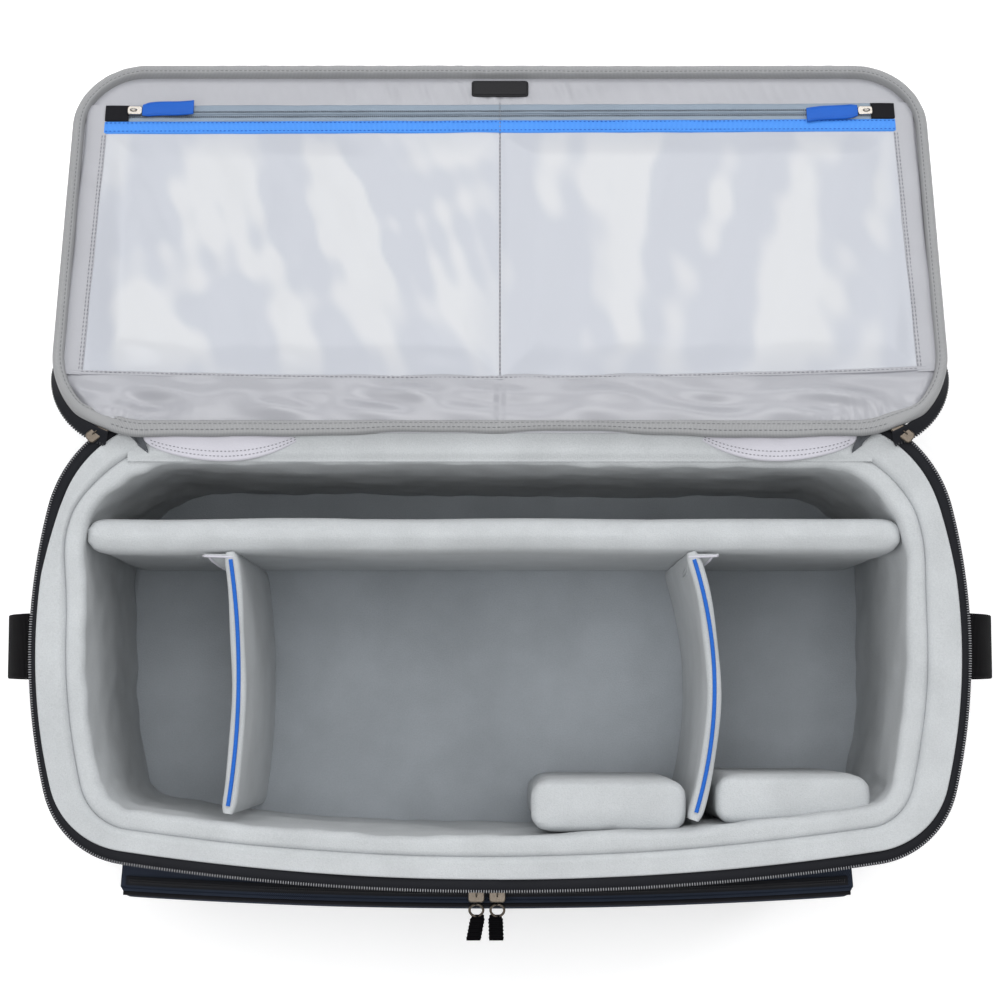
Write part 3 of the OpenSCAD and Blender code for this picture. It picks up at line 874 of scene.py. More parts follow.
@dataclass
class LidPlane:
    """Places points of the lid: x across, e away from the hinge and c outwards from the lining.

    Attributes:
        y, z: The hinge line.
        droop: Angle of the open lid below level, in radians.
        half_w: Half width of the lid.
        reach: Length of the lid.
        front_r, rear_r: Radii of the corners.
        thick: Thickness of the padded lid.
    """
    y: float
    z: float
    droop: float
    half_w: float
    reach: float
    front_r: float = 57 * MM
    rear_r: float = 75 * MM
    thick: float = 25.5 * MM

    @classmethod
    def from_frame(cls) -> "LidPlane":
        """Read the hinge line from the joint and the sizes from the CAD binding and lining."""
        joint = next(j for j in frame["joints"] if j["name"] == "lid_hinge")
        droop = math.radians(-joint["range_deg"][0] - 180)
        _, y, z = joint["pos_m"]
        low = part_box("lid_lining")[0]
        far = (z - 1.5 * MM * math.cos(droop) - low[2]) / math.sin(droop)
        half_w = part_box("lid_binding")[1][0]
        return cls(y, z, droop, half_w, far + 9 * MM)

    def place(self, flat: Array, height: Array) -> Array:
        """Send lid points, x and e with c as height, into the open lid's place."""
        e = flat[..., 1]
        s, c = math.sin(self.droop), math.cos(self.droop)
        return np.stack([flat[..., 0], self.y + c * e - s * height, self.z - s * e - c * height],
                        -1)

    def points(self, x: Array | float, e: Array | float, c: Array | float) -> Array:
        """Lid points from separate x, e and c."""
        x, e, c = np.broadcast_arrays(*(np.asarray(v, float) for v in (x, e, c)))
        return self.place(np.stack([x, e], axis=-1), c)

    def shape(self, shape: Shape) -> Shape:
        """A shape drawn in x, e and height above the lining, put in place."""
        return shape.moved(lambda p: self.place(p[..., :2], -p[..., 2]))

    def up(self) -> Array:
        """The direction out of the lining."""
        return np.array([0.0, math.sin(self.droop), math.cos(self.droop)])

    def loop(self, rear_r: float | None = None, step: float = 4 * MM) -> Loop:
        """The lid's outline in x and e, from the middle of the hinge side.

        Args:
            rear_r: Radius of the corners at the hinge.
            step: Spacing of the points.
        Returns:
            The closed loop, anticlockwise in x and e.
        """
        rr, rf, x, y = rear_r or self.rear_r, self.front_r, self.half_w, self.reach

        def straight(a: tuple[float, float], b: tuple[float, float],
                     normal: tuple[float, float]) -> tuple[Array, Array]:
            """Points along a straight side."""
            p, q = np.array(a), np.array(b)
            n = max(2, round(float(np.linalg.norm(q - p)) / step))
            return p + (q - p) * (np.arange(n) / n)[:, None], np.tile(normal, (n, 1)).astype(float)

        turn_r, turn_f = round(rr * 1.57 / step), round(rf * 1.57 / step)
        return joined_loop([
            straight((0, 0), (x - rr, 0), (0, -1)), arc(x - rr, rr, rr, -90, 0, turn_r),
            straight((x, rr), (x, y - rf), (1, 0)), arc(x - rf, y - rf, rf, 0, 90, turn_f),
            straight((x - rf, y), (rf - x, y), (0, 1)), arc(rf - x, y - rf, rf, 90, 180, turn_f),
            straight((-x, y - rf), (-x, rr), (-1, 0)), arc(rr - x, rr, rr, 180, 270, turn_r),
            straight((rr - x, 0), (0, 0), (0, -1))])


# ---------------------------------------------------------------- the case

@dataclass
class CaseWalls:
    """The felt walls, the floor, the outer shell and the base.

    Attributes:
        rim: The driving outline.
        soft: Height of the felt's slow waves.
    """
    rim: Rim
    soft: float = 1.1 * MM

    def lean(self, loop: Loop) -> Array:
        """How far the loose liner has moved, as an inset at each point of the outline.

        It sits a little to the left, and it is pressed outwards at the rear corners, where the
        long divider's ends stand, and at the front by the blocks.

        Args:
            loop: The outline.
        Returns:
            The extra inset at each point.
        """
        x, y = loop.points[:, 0] / self.rim.half_w, loop.points[:, 1]
        corner = np.exp(-((y - 92 * MM) / (42 * MM)) ** 2)
        corner = corner * np.clip((np.abs(x) - 0.72) / 0.15, 0, 1)
        front = np.clip(-loop.normals[:, 1], 0, 1) ** 2
        return 2.4 * MM * x - (8.0 - 2.5 * x) * MM * corner - (3.4 + 1.2 * x) * MM * front

    def wall(self, name: str, u0: float, u1: float, z0: float, radii: tuple[float, float],
             seed: int, nodes: Sequence[str], drop: float = 0.0, lip: float = 0.0,
             loose: bool = False) -> bpy.types.Object:
        """A padded ring of wall with a rounded top.

        Args:
            name: The piece's name.
            u0, u1: Insets of its outer and inner faces.
            z0: Its bottom.
            radii: Radius of the outer and the inner top edge.
            seed: Seed of its waves.
            nodes: CAD nodes it stands for.
            drop: How far its top lies below the rim.
            lip: How far its top edge rolls out over the zip tape.
            loose: Whether the whole ring follows the liner's lean, or its inner face alone.
        Returns:
            The ring.
        """
        top = self.rim.top - drop
        section = rounded(u0, u1, z0, top, [1 * MM, radii[1], radii[0], 1 * MM], 5 * MM, 7)
        low = z0 + 30 * MM
        if lip:
            a = np.radians(np.linspace(90, 270, 9))
            roll = np.stack([u0 - lip + 1.4 * MM + 1.4 * MM * np.cos(a),
                             top + 1.4 * MM * np.sin(a)], 1)
            flat = section[:, 0] < u0 + radii[0] * 0.98
            keep = section[~(flat & (section[:, 1] > top - 14 * MM))]
            split = int(np.argmax((keep[:, 0] < u0 + 1 * MM)))
            section = np.concatenate([keep[:split], roll, [[u0, top - 1.5 * MM]], keep[split:]])
        loop = self.rim.loop()
        lean = self.lean(loop)
        side_on = np.clip(loop.normals[:, 0], -1, 1)
        ease = np.clip((loop.points[:, 1] - 55 * MM) / (60 * MM), 0, 1)
        roll_in = lip * (1 - np.where(side_on < 0, 1.0, 0.55) * side_on ** 2 * (1 - ease) - 0.15)

        def stir(s: Array, t: Array) -> Array:
            """Slow waves of the felt, fading towards the floor."""
            u, z = section[:, 0][t], section[:, 1][t]
            fade = np.clip((z - low) / (top - low), 0, 1)
            inner = np.clip((u - u0) / (u1 - u0), 0, 1)
            wave = noise(s, z, 70 * MM, seed) + 0.5 * noise(s, z, 26 * MM, seed + 1)
            lift = noise(s, u * 3, 90 * MM, seed + 2) * fade ** 8
            side = lean[:, None] * (np.ones_like(inner) if loose else inner)
            side = side + roll_in[:, None] * (u < u0 - 0.1 * MM)
            soft = self.soft * wave * inner * loose
            return np.stack([soft + side, 0.9 * MM * (lift - 1) * fade ** 6], axis=-1)

        shape = carry(loop, section, stir=stir).flipped()
        piece = build(name, shape, FELT, "case", "felt", nodes)
        return piece

    def floor(self) -> None:
        """The floor felt: the inner outline filled with rings that shrink to the middle."""
        inset = self.rim.tape + self.rim.foam
        ring = self.rim.loop(8 * MM).at(inset)
        scale = np.linspace(1, 0.0, 30)[:-1] ** 0.8
        flat = ring[None] * scale[:, None, None]
        wave = noise(flat[..., 0], flat[..., 1], 60 * MM, 5)
        top = self.rim.floor - 0.4 * MM + 0.35 * MM * wave
        points = upright(flat, top)
        bottom = upright(flat[:1], np.full(flat[:1].shape[:2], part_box("floor_pad")[0][2]))
        points = np.concatenate([bottom, points])
        uv = np.concatenate([flat[:1], flat])
        uv = np.concatenate([uv, uv[:, :1]], axis=1)
        shape = stack([grid(points, False, True, uv), cap(points[-1], True), cap(bottom[0], False)])
        # The floor felt's darker colour is painted shade.
        piece = build("floor_felt", shape, SHADED_FLOOR_FELT, "case", "felt", ["floor_pad"])

    def shell(self) -> None:
        """The outer cloth shell, a ring a little wavy between its top and bottom seams."""
        r = self.rim
        u1, u0 = r.tape, r.tape - r.shell
        low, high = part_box("shell_front")[0][2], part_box("shell_front")[1][2]
        section = rounded(u0, u1, low, high, [0.5 * MM] * 4, 6 * MM, 2)

        def stir(s: Array, t: Array) -> Array:
            """Slack of the cloth, none at its seams."""
            z = section[:, 1][t]
            outside = (section[:, 0][t] < u0 + 0.6 * MM).astype(float)
            slack = np.sin(np.pi * np.clip((z - low) / (high - low), 0, 1)) ** 0.7
            wave = noise(s, z * 0.6, 80 * MM, 21) + 0.4 * noise(s, z, 22 * MM, 22)
            return np.stack([-outside * slack * (0.9 * MM + 0.9 * MM * wave), 0 * z], axis=-1)

        loop = r.loop()
        shape = carry(loop, section, stir=stir).flipped()
        build("outer_shell", shape, TWILL, "case", "navy_nylon",
              ["shell_front", "shell_back", "shell_left", "shell_right"])
        seams = []
        for z in (low + 16 * MM, high - 8 * MM):
            path = level(loop.at(u0 - 1.0 * MM), z)
            seams.append(stitches(path, level(loop.normals, 0.0), 4.5 * MM))
        build("shell_stitching", stack(seams), THREAD_DARK, "case", "black_fabric")

    def base(self) -> None:
        """Piping round the base, and finishes for the panel and its board."""
        low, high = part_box("base_piping")
        r = (high[2] - low[2]) / 2
        a = circle(12)
        middle = self.rim.tape - self.rim.shell - r
        section = np.stack([middle + r * np.cos(a), (low[2] + high[2]) / 2 + r * np.sin(a)], axis=1)
        build("base_cord", carry(self.rim.loop(), section).flipped(), PACK_CLOTH, "case",
              "black_fabric", ["base_piping"])
        for node, finish in (("base_panel", PACK_CLOTH_CAD), ("base_stiffener", BOARD)):
            mesh = frame["nodes"][node].data
            mesh.materials.clear()
            mesh.materials.append(finish.material())

    def build(self) -> None:
        """Build all the walls, the floor and the base."""
        r = self.rim
        foam_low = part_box("foam_front")[0][2]
        seam = r.tape + r.foam - 2.2 * MM
        self.wall("foam_wall", r.tape, seam + 0.2 * MM, foam_low, (7 * MM, 7 * MM), 31,
                  ["foam_front", "foam_back", "foam_left", "foam_right"], lip=4.6 * MM)
        self.wall("liner_wall", seam - 0.6 * MM, r.tape + r.foam + r.liner - 1 * MM, r.floor,
                  (5 * MM, 6.5 * MM), 41, ["liner_front", "liner_back", "liner_left",
                                           "liner_right"],
                  1.5 * MM, loose=True)
        self.floor()
        self.shell()
        self.base()


@dataclass
class RimZip:
    """The zip round the rim: woven tape, moulded coil and the two parked sliders.

    Attributes:
        rim: The driving outline.
        pitch: Distance from tooth to tooth.
        park: Angle of the parked sliders round the rear corners, in degrees.
        stop: Distance from the case's back where the zip ends.
    """
    rim: Rim
    pitch: float = 1.9 * MM
    park: float = 52.0
    stop: float = 11 * MM

    def track(self) -> Loop:
        """The stretch of the outline that has a zip, ending behind the rear corners."""
        loop = self.rim.loop(3 * MM)
        end = self.rim.back - self.stop
        return loop.part(loop.points[:, 1] < end)

    def tape(self) -> None:
        """The tape, a thin flange that dips a little towards the teeth."""
        track = self.track()
        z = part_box("rim_zip_tape")[1][2]
        t, w = 1.3 * MM, self.rim.tape
        edge = -0.9 * MM
        section = np.array([[w + 1 * MM, z - t - 1.5 * MM], [edge, z - t - 0.6 * MM],
                            [edge, z - 0.6 * MM], [w * 0.5, z + 0.1 * MM],
                            [w + 1 * MM, z - 0.5 * MM]])
        build("rim_tape", carry(track, section).flipped(), ZIP_TAPE, "case", "zip_tape",
              ["rim_zip_tape"])

    def teeth(self) -> None:
        """The coil, one small rounded bar for each turn, across the edge of the tape."""
        track = self.track()
        s = track.length()
        where = np.arange(1 * MM, s[-1], self.pitch)
        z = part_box("rim_zip_teeth")[1][2] - 1.7 * MM
        at = level(follow(where, s, track.points), z)
        x = level(follow(where, s, track.normals), 0.0)
        up = np.tile([0.0, 0.0, 1.0], (len(where), 1))
        shape = copies(bead(2.8 * MM, 0.95 * MM, 3.0 * MM, 6, 3), at, x, np.cross(up, x), up)
        # The coil's light grey colour is a painted highlight for its glints.
        build("rim_coil", shape, RIM_COIL_PAINTED_GLINT, "case", "zip_teeth", ["rim_zip_teeth"])

    def slider(self, side: str) -> None:
        """A parked slider with its bridge, and the pull that hangs from it.

        Args:
            side: "left" or "right".
        """
        sign = -1.0 if side == "left" else 1.0
        cx, cy, _ = self.rim.corner()
        a = math.radians(self.park)
        out = np.array([sign * math.cos(a), math.sin(a), 0.0])
        along = np.array([-sign * math.sin(a), math.cos(a), 0.0])
        up = np.array([0.0, 0.0, 1.0])
        centre = np.array([sign * cx, cy, 0.0]) + self.rim.rear_corner * out
        low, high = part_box(f"main_slider_{side}")

        def there(shape: Shape) -> Shape:
            """Put a shape drawn in outward, along and up into place."""
            made = shape.moved(lambda p: centre + p @ np.stack([out, along, up]))
            return made if sign > 0 else made.flipped()

        top = high[2] + 2 * MM
        plate = slab(-4.5 * MM, 5 * MM, -8 * MM, 11 * MM, top - 2.4 * MM, top, 3 * MM)
        lip = slab(2.3 * MM, 4.5 * MM, -6 * MM, 6 * MM, low[2], top - 1 * MM, 1 * MM)
        hoop = hoop_shape(2.6 * MM, 2.0 * MM, 0.8 * MM)
        hoop = hoop.moved(lambda p: np.stack([p[:, 1] + 1 * MM, p[:, 0], p[:, 2] + top - 0.2 * MM],
                                             1))
        build(f"main_slider_{side}_body", there(stack([plate, lip, hoop])), ANTIQUE,
              f"main_zip_{side}", "slider_metal", [f"main_slider_{side}"])
        z0, z1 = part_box(f"main_pull_{side}")[0][2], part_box(f"main_pull_{side}")[1][2]
        tag = slab(-4.5 * MM, 4.5 * MM, z0, z1, 0.0, 2.4 * MM, 2 * MM)
        tag = tag.moved(lambda p: np.stack([p[:, 2] + 4.8 * MM, p[:, 0], p[:, 1]], 1))
        build(f"main_pull_{side}_tag", there(tag), ANTIQUE, f"main_tag_{side}", "slider_metal",
              [f"main_pull_{side}"])

    def build(self) -> None:
        """Build the tape, the coil and both sliders."""
        self.tape()
        self.teeth()
        for side in ("left", "right"):
            self.slider(side)


def hoop_shape(reach: float, rise: float, thick: float) -> Shape:
    """A wire hoop standing on the XY plane, an arch along X.

    Args:
        reach: Half its span.
        rise: Its height.
        thick: Thickness of the wire.
    Returns:
        The hoop.
    """
    a = np.radians(np.linspace(0, 180, 13))
    path = np.stack([reach * np.cos(a), np.zeros(13), rise * np.sin(a)], axis=1)
    tangent = np.stack([-reach * np.sin(a), np.zeros(13), rise * np.cos(a)], axis=1)
    return wire(path, tangent, thick / 2)


def wire(path: Array, tangent: Array, r: float, around: int = 8) -> Shape:
    """A round wire along a path.

    Args:
        path: Points by 3.
        tangent: Direction at each point.
        r: Radius.
        around: Points round the wire.
    Returns:
        The wire with closed ends.
    """
    x = tangent / np.linalg.norm(tangent, axis=1, keepdims=True)
    side = np.array([0.0, 1.0, 0.0]) if abs(x[:, 1]).max() < 0.9 else np.array([1.0, 0.0, 0.0])
    y = np.cross(x, side)
    y /= np.linalg.norm(y, axis=1, keepdims=True)
    z = np.cross(x, y)
    a = circle(around)
    ring = y[:, None] * np.cos(a)[None, :, None] + z[:, None] * np.sin(a)[None, :, None]
    return tube(path[:, None] + r * ring)


@dataclass
class SideHandles:
    """Webbing loops sewn to the ends of the case.

    Attributes:
        rim: The driving outline.
        thick: Thickness of the webbing.
    """
    rim: Rim
    thick: float = 3 * MM

    def strap(self, side: str) -> None:
        """One strap: a flat section carried round the arc that the loop makes.

        Args:
            side: "left" or "right".
        """
        sign = -1.0 if side == "left" else 1.0
        low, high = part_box(f"handle_{side}")
        x0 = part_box("handle_patches")[1][0]
        bow = (high[0] if sign > 0 else -low[0]) - x0
        span = high[2] - low[2]
        r = span * span / (8 * bow) + bow / 2
        a = math.degrees(math.asin(span / 2 / r))
        points, normals = arc(x0 + bow - r, (low[2] + high[2]) / 2, r, -a, a, 40, True)
        section = rounded(0, self.thick, low[1], high[1], [1.2 * MM] * 4, 3 * MM, 3)
        shape = carry(Loop(points, normals, False), section,
                      lambda p, h: np.stack([sign * p[..., 0], h, p[..., 1]], -1))
        shape = shape if sign < 0 else shape.flipped()
        build(f"strap_{side}", shape, WEBBING, "case", "black_webbing", [f"handle_{side}"])

    def patches(self) -> None:
        """The sewn patches behind both straps, with a row of stitches round each."""
        low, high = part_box("handle_patches")
        seams, plates = [], []
        for sign in (-1.0, 1.0):
            plate = slab(low[1], high[1], low[2], high[2], 0, 2 * MM, 8 * MM)
            x = self.rim.half_w - self.rim.tape + self.rim.shell

            def there(p: Array, sign: float = sign, x: float = x) -> Array:
                """Stand the patch up against the end of the case."""
                return np.stack([sign * (x + 0.1 * MM + p[:, 2]), p[:, 0], p[:, 1]], 1)

            made = plate.moved(there)
            plates.append(made if sign > 0 else made.flipped())
            ring = rounded(low[1] + 4 * MM, high[1] - 4 * MM, low[2] + 4 * MM, high[2] - 4 * MM,
                           [5 * MM] * 4, 4 * MM)
            ring = np.concatenate([ring, ring[:1]])
            path = there(level(ring, 2 * MM))
            seams.append(stitches(path, np.array([sign, 0.0, 0.0]), 4.5 * MM))
        build("handle_patch_pads", stack(plates), PACK_CLOTH, "case", "black_webbing",
              ["handle_patches"])
        build("handle_stitching", stack(seams), THREAD_DARK, "case", "black_webbing")

    def build(self) -> None:
        """Build both straps and their patches."""
        for side in ("left", "right"):
            self.strap(side)
        self.patches()


@dataclass
class FrontPocket:
    """The flat pocket on the front: gusset, padded panel, zip, sliders and pulls.

    Attributes:
        rim: The driving outline.
        face_r: Radius of the pocket's face.
        panel_t: Thickness of the padded panel.
        bulge: How far the middle of the panel stands out.
        zip_at: Distance from the face to the zip tape.
        tape_w: Width of the zip tape.
        pitch: Distance from tooth to tooth.
    """
    rim: Rim
    face_r: float = 4.2
    panel_t: float = 8 * MM
    bulge: float = 3.2 * MM
    zip_at: float = 9 * MM
    tape_w: float = 7 * MM
    pitch: float = 1.7 * MM
    middle: float = field(init=False)

    def __post_init__(self) -> None:
        """Read where the pocket's middle is."""
        low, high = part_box("pocket_panel")
        self.middle = (low[0] + high[0]) / 2

    def face(self, depth: float, half_w: float, n: int = 60) -> Loop:
        """A line round the pocket's face.

        Args:
            depth: Distance behind the face.
            half_w: Half its width.
            n: Number of steps.
        Returns:
            The open path, from left to right.
        """
        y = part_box("pocket_panel")[0][1] + self.face_r
        a = math.degrees(math.asin(half_w / self.face_r))
        points, normals = arc(self.middle, y, self.face_r - depth, -90 - a, -90 + a, n, True)
        return Loop(points, normals, False)

    def panel(self) -> None:
        """The padded front panel with a soft bulge, and the cord piping along its top."""
        low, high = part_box("pocket_panel")
        half_w, t = (high[0] - low[0]) / 2, self.panel_t
        section = rounded(0.0, t, low[2], high[2], [2 * MM, 3 * MM, 3.4 * MM, 3 * MM], 5 * MM, 4)

        def stir(s: Array, t_row: Array) -> Array:
            """A shallow bulge of the face, with slack along its length."""
            u, z = section[:, 0][t_row], section[:, 1][t_row]
            face = (u < 1 * MM).astype(float)
            turn = np.clip(1 - np.minimum(s, s.max() - s) / (9 * MM), 0, 1)
            round_off = 7.5 * MM * (1 - np.sqrt(1 - turn ** 2)) * (1 - u / t)
            rise = np.sin(np.pi * np.clip((z - low[2]) / (high[2] - low[2]), 0, 1))
            ends = np.clip(np.sin(np.pi * s / s.max()), 0, 1) ** 0.4
            wave = 1 + 0.35 * noise(s, z, 60 * MM, 51)
            return np.stack([round_off - self.bulge * face * rise * ends * wave, 0 * z], axis=-1)

        shape = carry(self.face(0.0, half_w - 0.5 * MM, 160), section, stir=stir)
        build("pocket_panel_pad", shape.flipped(), TWILL, "pocket_flap", "navy_nylon",
              ["pocket_panel"])
        path = self.face(3 * MM, half_w - 3 * MM)
        a = circle(10)
        cord = np.stack([1.8 * MM * np.cos(a), high[2] - 1 * MM + 1.8 * MM * np.sin(a)], axis=1)
        build("pocket_piping", carry(path, cord).flipped(), PACK_CLOTH, "pocket_flap", "navy_nylon")

    def gusset(self) -> None:
        """The gusset behind the panel, whose back follows the front of the case."""
        low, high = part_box("pocket_gusset")
        path = self.face(0.0, (high[0] - low[0]) / 2 - 0.5 * MM, 120)
        outer = self.rim.front_r - self.rim.tape + self.rim.shell
        wall = self.rim.front_r - self.rim.front - np.sqrt(outer ** 2 - path.points[:, 0] ** 2)
        gap = wall - path.points[:, 1] + 1.5 * MM
        near, far = 7 * MM, 20 * MM
        section = rounded(near, far, low[2], high[2], [1.5 * MM] * 4, 4 * MM, 3)

        def stir(s: Array, t: Array) -> Array:
            """Pull the back against the case, and let the cloth sag a little between its seams."""
            share = np.clip((section[:, 0][t] - near) / (far - near), 0, 1)
            top = (section[:, 1][t] > high[2] - 1 * MM).astype(float)
            sag = top * np.sin(np.pi * share) * (1.2 * MM + 0.6 * MM * noise(s, s * 0, 30 * MM, 53))
            return np.stack([share * (gap[:, None] - far), -sag], axis=-1)

        build("pocket_gusset_cloth", carry(path, section, stir=stir).flipped(), TWILL, "case",
              "navy_nylon", ["pocket_gusset"])

    def zip(self) -> None:
        """The zip along the pocket's top: tape, two rows of coil and their stitching."""
        low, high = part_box("pocket_zip_tape")
        half_w, z = (high[0] - low[0]) / 2, high[2]
        depth = self.zip_at
        tape = rounded(depth, depth + self.tape_w, low[2], z, [0.4 * MM] * 4, 2 * MM, 2)
        build("pocket_tape", carry(self.face(0, half_w), tape).flipped(), ZIP_TAPE, "case",
              "zip_tape", ["pocket_zip_tape"])
        rows = []
        for offset in (2.7 * MM, 4.3 * MM):
            path = self.face(depth + offset, half_w - 2 * MM, 120)
            s = path.length()
            where = np.arange(1 * MM, s[-1], self.pitch)
            at = level(follow(where, s, path.points), z + 0.9 * MM)
            x = np.tile([0.0, 1.0, 0.0], (len(where), 1))
            up = np.tile([0.0, 0.0, 1.0], (len(where), 1))
            rows.append(copies(bead(1.7 * MM, 1.1 * MM, 1.7 * MM), at, x, np.cross(up, x), up))
        build("pocket_coil", stack(rows), ZIP_COIL, "case", "zip_teeth", ["pocket_zip_coil"])

    def slider(self, side: str) -> None:
        """A slider and its cord pull, which lies over the pocket's front edge.

        Args:
            side: "left" or "right".
        """
        low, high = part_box(f"pocket_slider_{side}")
        x = (low[0] + high[0]) / 2
        plate = slab(low[0] - 0.8 * MM, high[0] + 0.8 * MM, low[1] - 3.5 * MM, high[1], low[2],
                     low[2] + 2.2 * MM, 2.8 * MM)
        hoop = hoop_shape(3.0 * MM, 2.6 * MM, 1.3 * MM)
        hoop = hoop.moved(lambda p: np.stack([x + p[:, 1], p[:, 0] + (low[1] + high[1]) / 2,
                                              p[:, 2] + low[2] + 1.8 * MM], 1))
        build(f"pocket_slider_{side}_body", stack([plate, hoop]), ANTIQUE, f"pocket_zip_{side}",
              "slider_metal", [f"pocket_slider_{side}"])
        a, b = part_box(f"pocket_pull_{side}")
        joint = next(j for j in frame["joints"] if j["name"] == f"pocket_pull_{side}_hinge")
        y0, z0 = joint["pos_m"][1], joint["pos_m"][2] - 1.2 * MM
        fall = math.tan(math.radians(8))
        turn = 2 * np.pi * np.arange(25) / 24
        ring = np.stack([x + 5.2 * MM * np.cos(turn), y0 - 8.5 * MM + 4.6 * MM * np.sin(turn),
                         z0 + 0.8 * MM - fall * (8.5 * MM - 4.6 * MM * np.sin(turn))], axis=1)
        ahead = np.stack([-np.sin(turn), np.cos(turn), fall * np.cos(turn)], axis=1)
        build(f"pocket_pull_{side}_ring", wire(ring, ahead, 1.0 * MM), ANTIQUE,
              f"pocket_tag_{side}",
              "slider_metal")
        t = np.linspace(0, 1, 30)
        run = (b[1] - a[1]) + 1.5 * MM
        start = 12.0 * MM
        way = start + (run - start) * t
        shift, lean = (1.4 * MM, -0.19) if side == "left" else (-1.4 * MM, 0.03)
        slant = shift + lean * (way - start)
        path = np.stack([x + slant, y0 - way, z0 - fall * way], axis=1)
        half = 5.6 * MM * (0.78 + 0.22 * np.clip(t * 5, 0, 1))
        half = half * (1 + 0.05 * np.sin(2 * np.pi * t * 7))
        thick = 1.5 * MM * (1 + 0.16 * np.sin(2 * np.pi * t * 7 + 0.6))
        ang = circle(16)
        square = np.abs(np.cos(ang)) ** 0.4 * np.sign(np.cos(ang))
        points = path[:, None] + np.stack([half[:, None] * square[None], np.zeros((30, 16)),
                                           thick[:, None] * np.sin(ang)[None]], axis=-1)
        build(f"pocket_pull_{side}_cord", tube(points).flipped(), WEBBING, f"pocket_tag_{side}",
              "black_webbing",
              [f"pocket_pull_{side}"])

    def build(self) -> None:
        """Build the pocket."""
        self.gusset()
        self.panel()
        self.zip()
        for side in ("left", "right"):
            self.slider(side)


# ---------------------------------------------------------------- the lid

